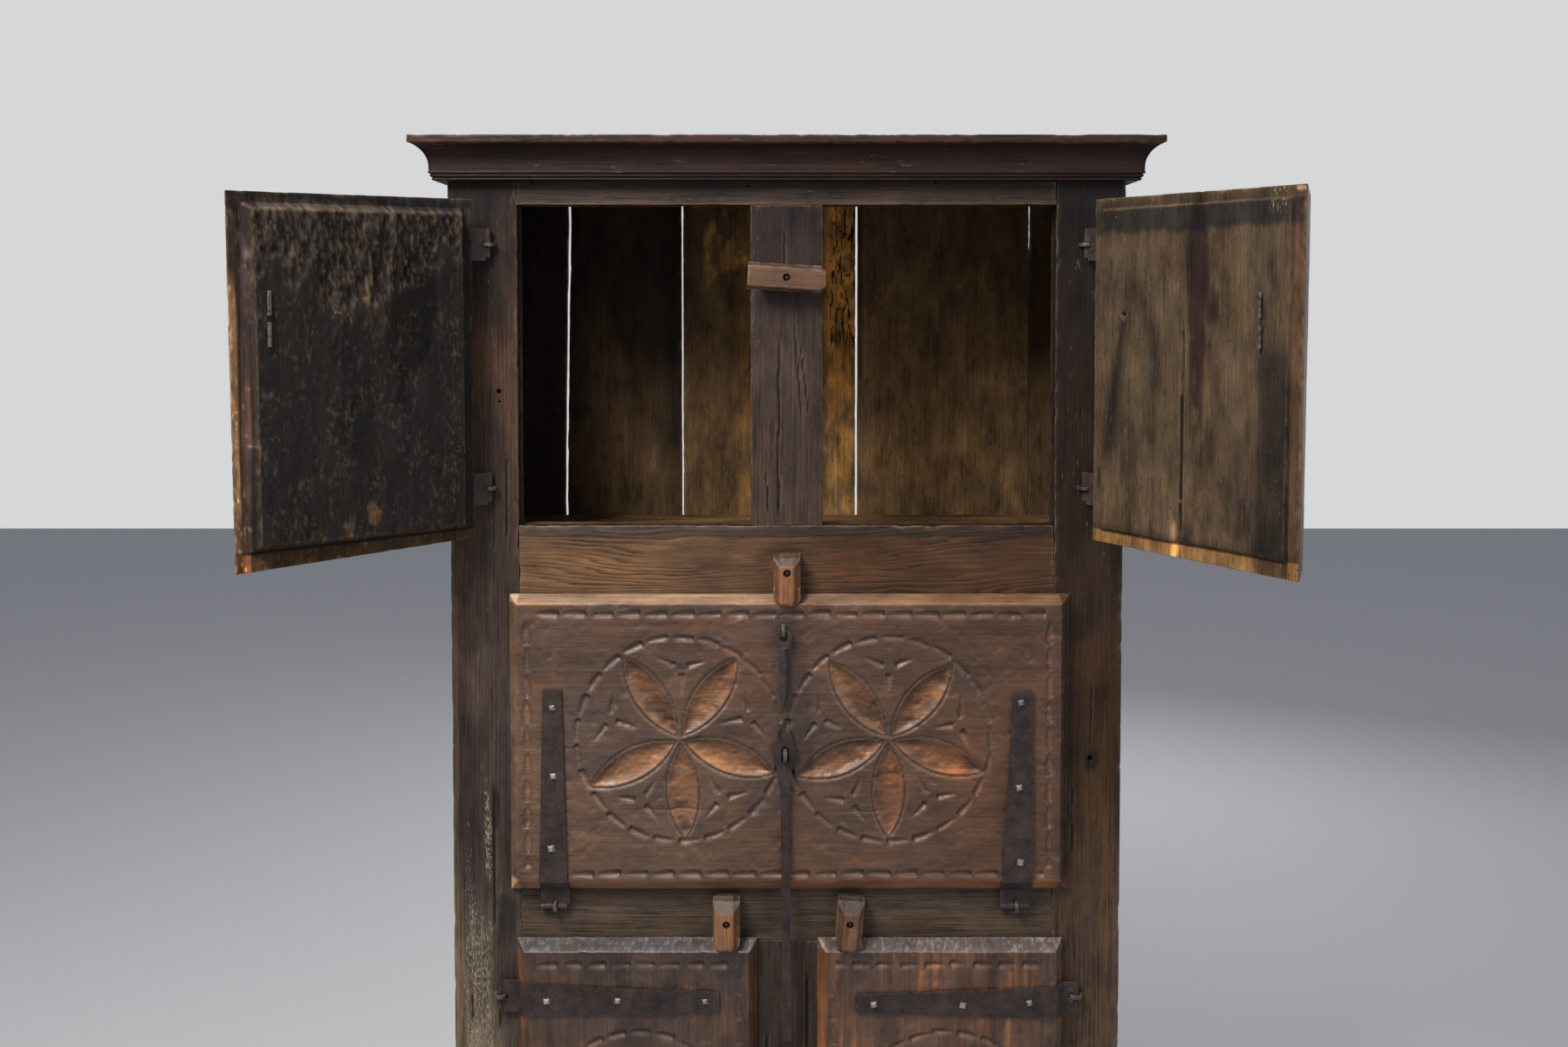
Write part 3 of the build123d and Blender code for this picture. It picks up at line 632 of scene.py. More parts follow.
FRAME_OAK = oak("frame_oak", (0.009, 0.0064, 0.0055), (0.074, 0.051, 0.038), (0.17, 0.115, 0.068),
                (0.075, 0.058, 0.050),
                flake=(0.36, 0.31, 0.23), ring_spacing=0.008, ring_contrast=0.12, streaks=1.0, haze=0.15,
                scuffs=0.35, shine=0.16)
LEAF_OAK = oak("leaf_oak", (0.022, 0.0115, 0.0076), (0.130, 0.070, 0.040), (0.22, 0.135, 0.08),
               (0.092, 0.066, 0.060),
               flake=(0.24, 0.18, 0.14), ring_spacing=0.007, ring_contrast=0.10, streaks=0.55, haze=0.3,
               scuffs=0.3, gloss=0.34,
               shine=0.5, rubbing=0.6)
RAIL_OAK = oak("rail_oak", (0.018, 0.0090, 0.0045), (0.195, 0.100, 0.045), (0.27, 0.155, 0.08),
               (0.11, 0.07, 0.05),
               ring_spacing=0.0075, ring_contrast=0.6, wander=0.03, pith=(0, 0.06, 0.02), streaks=0.6,
               haze=0.1, scuffs=0.3,
               gloss=0.4)
INNER_OAK = oak("inner_oak", (0.018, 0.0115, 0.006), (0.17, 0.108, 0.052), (0.36, 0.225, 0.095),
                (0.09, 0.07, 0.045),
                flake=(0.34, 0.24, 0.12), ring_spacing=0.012, ring_contrast=0.06, streaks=0.5, mottling=2.4,
                haze=0.25,
                scuffs=0.3, gloss=0.7, rubbing=0.6, relief=0.8, shine=0.2, worm=0.35)
CORNICE_OAK = oak("cornice_oak", (0.010, 0.0055, 0.0047), (0.062, 0.036, 0.028), (0.17, 0.11, 0.08),
                  (0.055, 0.042, 0.040),
                  ring_spacing=0.009, ring_contrast=0.14, streaks=1.2, mottling=2.0, haze=0.25, scuffs=0.4,
                  gloss=0.5, shine=0.18)
BUTTON_OAK = oak("button_oak", (0.050, 0.022, 0.012), (0.23, 0.112, 0.054), (0.34, 0.20, 0.11),
                 (0.14, 0.10, 0.085),
                 ring_spacing=0.006, ring_contrast=0.1, streaks=0.5, haze=0.15, scuffs=0.2, gloss=0.42)
BACK_OF_LEAF = oak("back_of_leaf", (0.012, 0.0095, 0.0072), (0.098, 0.068, 0.040), (0.30, 0.175, 0.075),
                   (0.10, 0.085, 0.07),
                   flake=(0.27, 0.19, 0.105), ring_spacing=0.010, ring_contrast=0.05, streaks=0.45,
                   mottling=2.4, haze=0.3,
                   scuffs=0.45, gloss=0.7, rubbing=0.45, relief=0.9, shine=0.16, worm=0.12)
WROUGHT_IRON = iron("wrought_iron", (0.0090, 0.0063, 0.0058), (0.054, 0.0345, 0.0310), (0.056, 0.030, 0.022),


                    (0.20, 0.165, 0.14), 0.4)
BRIGHT_IRON = iron("rubbed_nail_heads", (0.13, 0.11, 0.09), (0.56, 0.50, 0.43), (0.12, 0.07, 0.04),
                   (0.72, 0.67, 0.60), 0.2, 0.5, 0.6)


# ---- front frame
WIDTH, DEPTH = 1050, 430
HALF = WIDTH / 2
STILE_INNER = HALF - 107
FRAME_TOP = corners_mm("stile_left")[1][2]
FRAME_BACK = -45.0
FRAME = {  # left, right, low and high
    "stile_left": (-HALF, -STILE_INNER, 0, FRAME_TOP),
    "stile_right": (STILE_INNER, HALF, 0, FRAME_TOP),
    "top_rail": (-STILE_INNER, STILE_INNER, 1897, FRAME_TOP),
    "middle_rail": (-STILE_INNER, STILE_INNER, 1283, 1398),
    "lower_rail": (-STILE_INNER, STILE_INNER, 740, 840),
    "bottom_rail": (-STILE_INNER, STILE_INNER, 95, 185),
    "upper_muntin": (-56, 56, 1398, 1897),
    "lower_muntin": (-56, 56, 185, 740),
}


def rect(left, right, low, high):
    return [(left, low), (right, low), (right, high), (left, high)]


def spot(x, y, centre, size, seed=0, ragged=0.35):
    """1 inside a ragged blob, 0 outside; size is its half width and half height."""
    p = plane_points(x, y)
    r = np.hypot((x - centre[0]) / size[0], (y - centre[1]) / size[1])
    r = r + ragged * swell(p, (size[0] * 0.6, size[1] * 0.6, 1), seed, 3)
    return ease(1.15, 0.75, r)


def tinted(verts, *patches):
    """Colour multipliers; each patch is a weight per vertex and a colour."""
    tint = np.ones((len(verts), 3))
    for weight, colour in patches:
        weight = unit(np.broadcast_to(weight, (len(verts),)))[:, None]
        tint = tint * (1 - weight) + tint * np.array(colour) * weight
    return tint


def stains(verts, *rows):
    """Patches for tinted; a row is a strength, a spot's centre, size, seed and raggedness, and a colour."""
    x, y = verts.T[:2]
    return [(strength * spot(x, y, *shape), colour) for strength, *shape, colour in rows]


def uneven(verts, seed, amount=0.25, size=(160, 420, 60)):
    """Slow light and dark over a whole board, as a column beside its colours."""
    return 1 + amount * swell(verts, size, seed, 3)[:, None]


def worn_face(height, seed, along, waves=0.35, cracks=()):
    """A planed and weathered face: slight waves along the grain, raised grain and drying cracks."""

    def shape(x, y, d):
        p = plane_points(x, y)
        long_axis = (9, 260, 1) if along == "y" else (260, 9, 1)
        dent = unit(swell(p, 38, seed + 4, 3) - 0.35)
        z = height - waves * drift(p, long_axis, seed, 3) - 0.9 * dent
        for crack in cracks:
            z = z - crack_depth(x, y, crack, seed)
        return z

    return shape


def crack_depth(x, y, crack, seed):
    """A drying crack from one point to another, wandering; crack is (x0, y0, x1, y1, width, depth)."""
    x0, y0, x1, y1, width, depth = crack
    dx, dy = x1 - x0, y1 - y0
    length = np.hypot(dx, dy)
    along = ((x - x0) * dx + (y - y0) * dy) / length
    across = ((x - x0) * dy - (y - y0) * dx) / length
    across = across + 1.8 * swell(plane_points(along, 0.0), 60, seed + 7, 2)
    taper = unit(along / 25) * unit((length - along) / 45)
    return depth * unit(1 - np.abs(across) / (width * (0.35 + 0.65 * taper))) * (taper > 0) * taper


def crack_line(v, crack, seed):
    """1 along a drying crack, where dirt gathers."""
    return (crack_depth(*v.T[:2], crack, seed) > 0.3 * crack[5]) * 1.0


def frame_board(node, seed, tint, deep=None, cracks=(), holes=(), step=(4, 8), **shape):
    """One member of the front frame, its face at the front and its back flat."""
    left, right, low, high = FRAME[node]
    along = "x" if node.endswith("rail") else "y"
    face = worn_face(0.0, seed, along, cracks=cracks)

    def front(x, y, d):
        z = face(x, y, d)
        for hx, hy, radius, depth in holes:
            z = z - depth * ease(radius * 1.15, radius * 0.8, np.hypot(x - hx, y - hy))
        return z

    extra_x = [c for hx, hy, r, depth in holes for c in np.linspace(hx - r * 1.3, hx + r * 1.3, 11) - left]
    extra_y = [c for hx, hy, r, depth in holes for c in np.linspace(hy - r * 1.3, hy + r * 1.3, 11) - low]

    def grime(v):
        z_drop = unit((0.0 - v[:, 2]) / 2.2 - 0.45) * (v[:, 2] > FRAME_BACK * 0.5)
        lines = sum((crack_line(v, crack, seed) for crack in cracks), np.zeros(len(v))) * (v[:, 2] > -20)
        return unit(z_drop + lines + (deep(v) if deep else 0))

    steps = step if along == "y" else (step[1], step[0])
    plank(node, "carcass", rect(left, right, low, high), FRONT, front, level(FRAME_BACK), steps,
          FRAME_OAK if node != "middle_rail" else RAIL_OAK, along, seed, tint, grime,
          extra_x=extra_x, extra_y=extra_y, **shape)


def by_height(y, *stops):
    """Colour multipliers that change with height; each stop is a height and a colour."""
    heights = [height for height, _ in stops]
    return np.stack([np.interp(y, heights, [colour[k] for _, colour in stops]) for k in range(3)], axis=-1)


def stile_tint(seed, tones, patches):
    def tint(v):
        cloud = 30 * swell(v, (60, 160, 60), seed + 40, 3)
        marks = stains(v, *((strength, centre, size, seed, 0.6, colour)
                            for centre, size, colour, strength in patches))
        return tinted(v, *marks) * by_height(v[:, 1] + cloud, *tones) * uneven(v, seed, 0.3, (50, 200, 60))

    return tint


def left_stile_golden(v):
    """1 where the left stile's old finish has gone near its foot, down its outer edge."""
    x, y = v.T[:2]
    ragged = swell(v, (16, 70, 30), 14, 4)
    return ease(-445, -475, x + 22 * ragged) * ease(850, 740, y + 60 * ragged)


def left_stile_flaking(v):
    x, y = v.T[:2]
    ragged = swell(v, (12, 90, 30), 15, 4)
    columns = spot(x, y, (-487, 700), (24, 260), 16, 0.9) + spot(x, y, (-468, 900), (7, 90), 17, 0.8)
    flaked = 0.34 + 0.42 * columns + 0.2 * ease(0.05, 0.45, ragged) + 0.14 * left_stile_golden(v)
    return (v[:, 2] > -8) * flaked * ease(1150, 950, y) + (v[:, 2] <= -8) * 0.3


def left_stile_grime(v):
    x, y = v.T[:2]
    return unit(spot(x, y, (-458, 955), (7, 40), 3, 0.8) * 0.7
                + spot(x, y, (-440, 770), (16, 40), 5, 0.8) * 0.5)


left_stile_wood = stile_tint(
    1,
    [(600, (1.45, 1.55, 1.65)), (800, (1.3, 1.4, 1.55)), (930, (0.95, 0.95, 1.0)), (1120, (1.4, 1.4, 1.5)),
     (1400, (1.1, 1.05, 1.0)), (1650, (1.2, 1.02, 0.95)), (1790, (0.38, 0.35, 0.38)),
     (1930, (0.22, 0.2, 0.23))],
    [((-470, 1650), (34, 90), (1.5, 1.3, 1.05), 0.7), ((-430, 1560), (9, 200), (1.5, 1.15, 1.0), 0.5),
     ((-440, 1840), (18, 110), (1.7, 1.5, 1.4), 0.6), ((-490, 1150), (20, 60), (1.5, 1.4, 1.2), 0.6),
     ((-521, 1000), (5, 400), (1.8, 1.6, 1.15), 0.8), ((-440, 1050), (14, 120), (0.85, 0.9, 1.05), 0.6)],
)
frame_board("stile_left", 1,
            lambda v: left_stile_wood(v) * tinted(v, (left_stile_golden(v), (2.2, 2.1, 1.7))),
            left_stile_grime, flaked=left_stile_flaking,
            cracks=[(-462, 760, -460, 1010, 2.2, 5), (-500, 560, -497, 690, 1.8, 4),
                    (-436, 1300, -438, 1520, 1.3, 3), (-455, 590, -454, 650, 4.0, 6)],
            holes=[(-448, 1608, 3.5, 8), (-447, 1592, 2.0, 6)])
right_stile_wood = stile_tint(
    2,
    [(600, (1.7, 1.5, 1.2)), (800, (1.55, 1.3, 1.05)), (930, (0.9, 0.72, 0.5)), (1120, (0.75, 0.52, 0.3)),
     (1300, (0.65, 0.48, 0.34)), (1400, (0.5, 0.4, 0.34)), (1750, (0.27, 0.24, 0.25)),
     (1930, (0.13, 0.12, 0.13))],
    [((505, 930), (13, 260), (1.5, 1.35, 1.0), 0.7), ((448, 1600), (20, 90), (1.7, 1.35, 1.15), 0.6),
     ((470, 1180), (40, 50), (1.5, 1.35, 1.1), 0.7), ((480, 980), (34, 60), (1.4, 1.3, 1.0), 0.6),
     ((450, 1240), (26, 30), (0.6, 0.6, 0.65), 0.7), ((470, 1135), (40, 14), (0.6, 0.6, 0.6), 0.6),
     ((470, 720), (30, 90), (0.8, 0.82, 0.88), 0.7), ((440, 1750), (14, 90), (1.5, 1.2, 1.05), 0.5)],
)
frame_board("stile_right", 2, right_stile_wood,
            lambda v: 0.75 * spot(*v.T[:2], (478, 1028), (13, 17), 8, 0.5),
            cracks=[(478, 1042, 480, 1180, 1.2, 3), (452, 820, 450, 1010, 1.2, 3),
                    (497, 300, 500, 620, 1.5, 4)],
            holes=[(477, 1030, 4.0, 9)])
frame_board("top_rail", 3,
            lambda v: tinted(v, (1.0, (0.72, 0.66, 0.68)), (ease(1904, 1899, v[:, 1]), (2.2, 1.8, 1.5)))
            * uneven(v, 3, 0.3, (120, 40, 60)),
            holes=[(-395, 1930, 1.8, 5), (-60, 1927, 1.6, 5), (230, 1931, 1.8, 5)])


def middle_rail_tint(v):
    x, y = v.T[:2]
    band = ease(1378, 1384, y + 1.5 * swell(v, (60, 400, 60), 4, 3))
    warm = spot(x, y, (-330, 1330), (150, 34), 6) + 0.6 * spot(x, y, (220, 1325), (150, 26), 7)
    tan = ease(0.1, 0.5, swell(v, (40, 16, 30), 9, 4)) * spot(x, y, (-70, 1330), (80, 34), 8)
    darker = ease(-120, 120, x)
    return tinted(v, (0.85 * darker, (0.42, 0.29, 0.18)), (band, (0.45, 0.55, 0.85)),
                  (0.6 * warm * (1 - band), (1.4, 1.3, 1.15)), (0.6 * tan * (1 - band), (1.8, 1.6, 1.3)),
                  (0.4 * ease(1300, 1284, y), (0.6, 0.58, 0.6)))\
        * uneven(v, 4, 0.25, (160, 40, 60))


frame_board("middle_rail", 4, middle_rail_tint,
            lambda v: 0.35 * ease(1379, 1382, v[:, 1]) * ease(1386, 1383, v[:, 1]),
            holes=[(0.5, 1329, 3.2, 10)])
frame_board("lower_rail", 5,
            lambda v: tinted(v, (1.0, (1.55, 1.5, 1.35)),
                             (0.8 * ease(806, 838, v[:, 1]), (0.55, 0.52, 0.52)),
                             (0.7 * spot(*v.T[:2], (250, 770), (130, 16), 3, 0.6), (1.4, 1.25, 1.05)),
                             (0.6 * spot(*v.T[:2], (-230, 785), (150, 18), 4, 0.6), (1.25, 1.25, 1.2)))
            * uneven(v, 5, 0.35, (160, 30, 60)),
            holes=[(101, 808, 5.5, 12), (-94, 779, 3.2, 10), (98.5, 779, 3.2, 10)])
frame_board("bottom_rail", 6,
            lambda v: tinted(v, (ease(150, 98, v[:, 1]), (0.7, 0.7, 0.72)))
            * uneven(v, 6, 0.25, (300, 60, 60)))


def upper_muntin_tint(v):
    x, y = v.T[:2]
    warm = ease(0.0, 0.5, swell(v, (16, 90, 60), 47, 4)) * ease(1700, 1580, y)
    paint = spot(x, y, (10, 1860), (50, 60), 4, 0.8)
    pale = spot(x, y, (-36, 1600), (18, 90), 6, 0.9)
    return tinted(v, (0.35 * paint, (1.3, 1.35, 1.5)), (0.75 * warm, (1.4, 1.2, 0.95)),
                  (0.5 * pale, (1.3, 1.3, 1.25)),
                  (0.6 * ease(48, 55, x), (0.6, 0.6, 0.62)))\
        * by_height(y, (1400, (1.2, 1.1, 1.12)), (1600, (1.1, 1.0, 1.06)), (1760, (0.74, 0.68, 0.76)),
                    (1890, (0.36, 0.33, 0.38))) * uneven(v, 7, 0.3, (30, 120, 60))


frame_board("upper_muntin", 7, upper_muntin_tint,
            cracks=[(-14, 1400, -12, 1700, 2.0, 6), (-28, 1398, -34, 1500, 1.6, 5),
                    (22, 1560, 10, 1740, 1.8, 5),
                    (-4, 1790, -6, 1890, 1.5, 4), (8, 1398, 6, 1470, 1.4, 4), (34, 1560, 20, 1700, 1.6, 4)],
            step=(2.6, 5))
frame_board("lower_muntin", 8,
            lambda v: tinted(v, (1.0, (1.08, 1.08, 1.1))) * uneven(v, 8),
            cracks=[(30, 500, 34, 735, 1.3, 4), (-34, 300, -30, 640, 1.4, 4)])


# ---- carcass boards
BOARD_FRONT = -385.0
BOARD_MIDDLE = -195.0
BOARD_REAR = -20.0
SIDE_THICK = 28
SIDES = {"left": -1, "right": 1}

for side_name, side in SIDES.items():
    # X runs back from the frame, Y up, Z out of the side
    place = frame_of((side * HALF, BOARD_FRONT, 0), (0, 1, 0), UP, (side, 0, 0))
    middle, rear = BOARD_MIDDLE - BOARD_FRONT, BOARD_REAR - BOARD_FRONT
    for part, low, high in (("front", 0, middle), ("rear", middle, rear)):
        node = f"{side_name}_side_{part}_board"
        seed = 10 + list(SIDES).index(side_name) * 2 + (part == "rear")
        plank(node, "carcass", rect(low + 0.3, high - 0.3, 0, FRAME_TOP), place,
              worn_face(0.0, seed, "y", 0.5, [(low + 60, 300, low + 66, 900, 1.6, 5),
                                              (low + 120, 1100, low + 112, 1600, 1.3, 4)]),
              level(-SIDE_THICK), (7, 12), FRAME_OAK, "y", seed,
              lambda v, seed=seed: tinted(v, (ease(260, 20, v[:, 1]) * 0.7, (1.3, 1.35, 1.3)))
              * uneven(v, seed, 0.3),
              bite=0.2)

BACK_JOINTS = [-HALF, -400, -190, 129, 445, HALF]
BACK_THICK = 20
HEIGHT = 2000
INSIDE = frame_of((0, -BACK_THICK, 0), (1, 0, 0), UP, (0, -1, 0))
# colour of each back board's face inside
BACK_COLOURS = [(0.2, 0.18, 0.24), (0.5, 0.46, 0.46), (1.2, 1.08, 0.95), (1.75, 1.6, 1.45),
                (1.0, 0.88, 0.85)]
# how far the left and right edges of each board stand from the middle of the shrinkage gaps
GAP_EDGES = [(0, 2.5), (2.0, 1.3), (1.2, 1.8), (1.4, 1.4), (1.4, 0)]


def eaten_channels(x, y):
    """Depth of the tunnels that run down the third board beside its right edge."""
    p = plane_points(x, y)
    wander = np.abs(swell(p, (9, 60, 1), 61, 3))
    branch = np.abs(swell(p, (7, 26, 1), 66, 2))
    zone = ease(76, 84, x) * ease(1640, 1700, y + 30 * swell(p, (20, 30, 1), 67, 2))
    pitted = unit(swell(p, (6, 18, 1), 63, 3) - 0.3) * spot(x, y, (-104, 1840), (34, 60), 3, 0.8)
    return zone * (4.0 * ease(0.09, 0.02, wander) + 2.0 * ease(0.05, 0.01, branch)) + 5 * pitted


def back_tint(number):
    def tint(v):
        x, y, z = v.T
        inside = (z > -BACK_THICK * 0.6) * 1.0
        rough = drift(v, (14, 30, 30), 44, 4)
        lit = ease(1700, 1480, y + 60 * swell(v, (60, 60, 60), 45, 3))
        patches = {
            2: [
                (lit, (2.7, 2.7, 2.7)),
                (0.9 * ease(1680, 1800, y), (0.6, 0.62, 0.62)),
                (0.85 * ease(-355, -392, x), (0.38, 0.38, 0.36)),
                (0.8 * spot(x, y, (-320, 1540), (40, 170), 6, 0.8), (1.8, 1.8, 1.7)),
                (0.9 * ease(-245, -204, x), (0.32, 0.34, 0.36)),
                (0.6 * lit * spot(x, y, (-240, 1440), (40, 40), 5, 0.8) * rough, (1.9, 1.8, 1.6)),
            ],
            3: [
                (0.45 * ease(1560, 1400, y) * rough * ease(60, -60, x), (1.6, 1.5, 1.3)),
                (ease(60, 80, x) * ease(1600, 1700, y), (2.4, 2.4, 2.3)),
                (ease(60, 80, x) * ease(1620, 1520, y), (0.66, 0.78, 1.2)),
                (0.8 * ease(-60, -100, x) * ease(1480, 1560, y) * ease(1800, 1700, y), (1.6, 1.55, 1.5)),
                (spot(x, y, (-124, 1845), (40, 56), 3, 0.9) * ease(0.35, 0.6, rough), (3.6, 2.8, 1.7)),
                (ease(-100, -66, x) * (0.3 + 0.7 * ease(0.35, 0.6, rough)), (1.9, 1.6, 1.05)),
                (ease(60, 80, x) * (0.45 + 0.55 * ease(0.35, 0.6, rough)), (2.4, 2.1, 1.35)),
                (0.7 * spot(x, y, (100, 1470), (30, 60), 7, 0.7), (1.7, 1.6, 1.4)),
                (0.7 * spot(x, y, (-160, 1480), (26, 60), 8, 0.7) * rough, (1.7, 1.6, 1.4)),
                (0.8 * ease(-150, -186, x) * ease(1560, 1700, y), (0.35, 0.32, 0.32)),
            ],
            4: [
                (0.5 * spot(x, y, (260, 1480), (110, 110), 5, 0.6), (1.5, 1.4, 1.2)),
                (0.9 * ease(1540, 1620, y) * ease(1850, 1720, y), (1.65, 1.6, 1.55)),
                (0.5 * ease(1700, 1890, y), (0.75, 0.7, 0.66)),
                # painted shadow: a black strip beside the third gap, down from the top
                (0.8 * ease(143, 136, x) * ease(1560, 1620, y), (0.15, 0.15, 0.16)),
            ],
        }.get(number, [])
        patches = [(inside * weight, colour) for weight, colour in patches]
        whole = tinted(v, (inside, BACK_COLOURS[number - 1]), (1 - inside, (0.8, 0.8, 0.84)), *patches)
        return whole * uneven(v, 20 + number, 0.35, (50, 160, 60))

    return tint


def back_flaking(number):
    def flaked(v):
        x, y = v.T[:2]
        inside = v[:, 2] > -BACK_THICK * 0.6
        amount = {1: 0.05, 2: 0.3, 3: 0.4, 4: 0.3, 5: 0.2}[number] + 0.2 * ease(1650, 1420, y)
        if number == 3:
            amount = amount + 0.3 * spot(x, y, (-118, 1850), (36, 60), 3, 0.8) + 0.2 * ease(60, 80, x)
        return inside * amount

    return flaked


def back_face(number):
    shape = worn_face(0.0, 20 + number, "y", 0.9, [])

    def front(x, y, d):
        return shape(x, y, d) - (eaten_channels(x, y) if number == 3 else 0)

    return front


def back_warp(number):
    """The first gap leans to the right as it rises; the last closes towards the floor."""

    def warp(x, y):
        left, right = BACK_JOINTS[number - 1], BACK_JOINTS[number]
        to_right = unit((x - left) / (right - left))
        ragged = 1.3 * swell(plane_points(0 * x + 9 * number, y), 34, 64, 4)
        lean = np.interp(y, (1340, 1500, 1700, 1900), (-4.2, -3.0, 0.8, 4.6)) + ragged
        close = 1.3 * ease(1870, 1820, y)
        shift = {1: to_right * lean, 2: (1 - to_right) * lean, 4: to_right * close,
                 5: (to_right - 1) * close}
        return x + shift.get(number, 0), y

    return warp


for number, (left, right) in enumerate(zip(BACK_JOINTS, BACK_JOINTS[1:]), start=1):
    left_edge, right_edge = left + GAP_EDGES[number - 1][0], right - GAP_EDGES[number - 1][1]
    node = f"back_board_{number}"
    eaten = {}
    if number == 3:
        eaten = {"extra_x": np.arange(66, 126, 2.1) - left_edge, "extra_y": np.arange(1600, 1900, 3.5),
                 "deep": lambda v: 0.9 * ease(1.0, 3.0, eaten_channels(*v.T[:2])) * (v[:, 2] > -10)}
    plank(node, "carcass", rect(left_edge, right_edge, 0, HEIGHT), INSIDE, back_face(number),
          level(-BACK_THICK), (4 if number == 3 else 6, 7), INNER_OAK, "y", 20 + number, back_tint(number),
          flaked=back_flaking(number), back_every=2, arris=1.0, bite=0.7, bite_size=14, fray=1.0,
          warp=back_warp(number), **eaten)

INNER_HALF = HALF - SIDE_THICK
FLOOR_TOPS = {"upper_floor": 1359, "middle_floor": 812, "bottom_floor": 150}
FLOOR_THICK = 22
for number, (node, top) in enumerate(FLOOR_TOPS.items()):
    plank(node, "carcass", rect(-INNER_HALF, INNER_HALF, BOARD_FRONT, BOARD_REAR), lying(top),
          worn_face(0.0, 30 + number, "x", 0.7,
                    [(-380, -300, 260, -292, 1.6, 5), (-200, -120, 440, -128, 1.4, 5)]),
          level(-FLOOR_THICK), (12, 6), INNER_OAK, "x", 30 + number,
          lambda v: tinted(v, (1.0, (1.5, 1.25, 0.95))) * uneven(v, 33, 0.3, (160, 40, 60)), bite=0.6)
plank("roof_board", "carcass", rect(-HALF, HALF, -DEPTH, BOARD_REAR),
      lying(HEIGHT), worn_face(0.0, 35, "x", 0.8, [(-400, -300, 300, -310, 2, 6)]),
      level(-22), (12, 7), INNER_OAK, "x", 35,
      lambda v: tinted(v, (1.0, (0.8, 0.82, 0.86))) * uneven(v, 35, 0.3, (300, 60, 60)), bite=0.5)


BEARER = (22, 30)
verts, faces, marks = [], [], {}
for number, top in enumerate(FLOOR_TOPS.values()):
    for side in (-1, 1):
        left, right = sorted((side * (INNER_HALF - BEARER[0]), side * INNER_HALF))
        under = top - FLOOR_THICK
        seed = 41 + number
        bar, bar_faces, worn, *_ = slab(rect(left, right, BOARD_FRONT, BOARD_REAR),
                                        worn_face(under, seed, "y", 0.4), level(under - BEARER[1]), (5, 12),
                                        seed=seed, bite=0.7)
        faces += [tuple(i + sum(map(len, verts)) for i in face) for face in bar_faces]
        verts.append(bar)
        for key, values in {
            "grain": grain_marks(bar, "y", 41 + number * 2 + side),
            "worn": worn,
            "deep": np.zeros(len(bar)),
            "tint": np.full((len(bar), 3), 0.8),
        }.items():
            marks.setdefault(key, []).append(values)
marks = {key: np.concatenate(values) for key, values in marks.items()}
finished["floor_bearers"] = (
    make_object("floor_bearers", np.concatenate(verts), faces, np.eye(4), marks, INNER_OAK), "carcass")


# ---- chip carving
def chance(index, seed):
    """A fixed random number in -1..1 for each whole number."""
    index = np.asarray(index, np.int64)
    cell = np.stack([index, index * 0 + 7, index * 0 + 3], axis=-1)
    return 2 * lattice(cell, seed) - 1


def gouge(t, v, width, deep):
    """One gouge cut and its dark marks, painted shade with some grime at its stop and along its edges: t
    runs from its shallow start, 0, to its abrupt stop, 1, which is curved; v is across it."""
    half = width / 2 * (0.5 + 0.5 * unit(t / 0.55))
    u = unit(np.abs(v) / half)
    t = t + 0.09 * u**2
    run = unit(t / 0.22) * (0.55 + 0.45 * t) * ease(1.0, 0.95, t)
    cut = deep * run * (1 - u**1.5)
    stop = ease(0.86, 0.97, t) * ease(1.05, 1.01, t) * ease(1.0, 0.85, u)
    edge = bell(np.abs(v) / half - 0.95, 0.28) * ease(0.1, 0.4, t) * ease(1.03, 1.0, t)
    return cut, np.maximum(0.95 * stop, 0.6 * edge)


def gouge_row(along, across, low, high, pitch, width, deep, seed, gap=0.03):
    """A row of gouges along a line; their stops face the way along runs."""
    number = np.floor((along - low) / pitch)
    t = (along - low) / pitch - number
    size = 1 + 0.16 * chance(number, seed)
    lean = 0.05 * chance(number, seed + 1) * (t - 0.5) * pitch
    offset = 0.9 * chance(number, seed + 2)
    start = gap * (1 + chance(number, seed + 3))
    cut, dirt_and_shade = gouge((t - start) / (0.97 - start), across - offset - lean, width * size, deep * size)
    inside = (along > low) * (along < high)
    return cut * inside, dirt_and_shade * inside


def lens_half(s, length, width):
    """Half width of a lens between two arcs, at a distance s from one end."""
    radius = ((length / 2) ** 2 + (width / 2) ** 2) / width
    inside = np.clip(radius**2 - (s - length / 2) ** 2, 0, None)
    return np.sqrt(inside) - (radius - width / 2)


RING, DOOR_RING, DOOR_RING_SCALE = 160, 153, 0.955
RING_GOUGES = 25
PETAL_LENGTH, PETAL_WIDTH = 158, 59  # over the outline groove
OUTLINE_GROOVE = 6
SCOOP = 8


def deepest(carved, more):
    """Joins two carvings, each a depth and its dark marks, painted shade with some grime."""
    return np.maximum(carved[0], more[0]), np.maximum(carved[1], more[1])


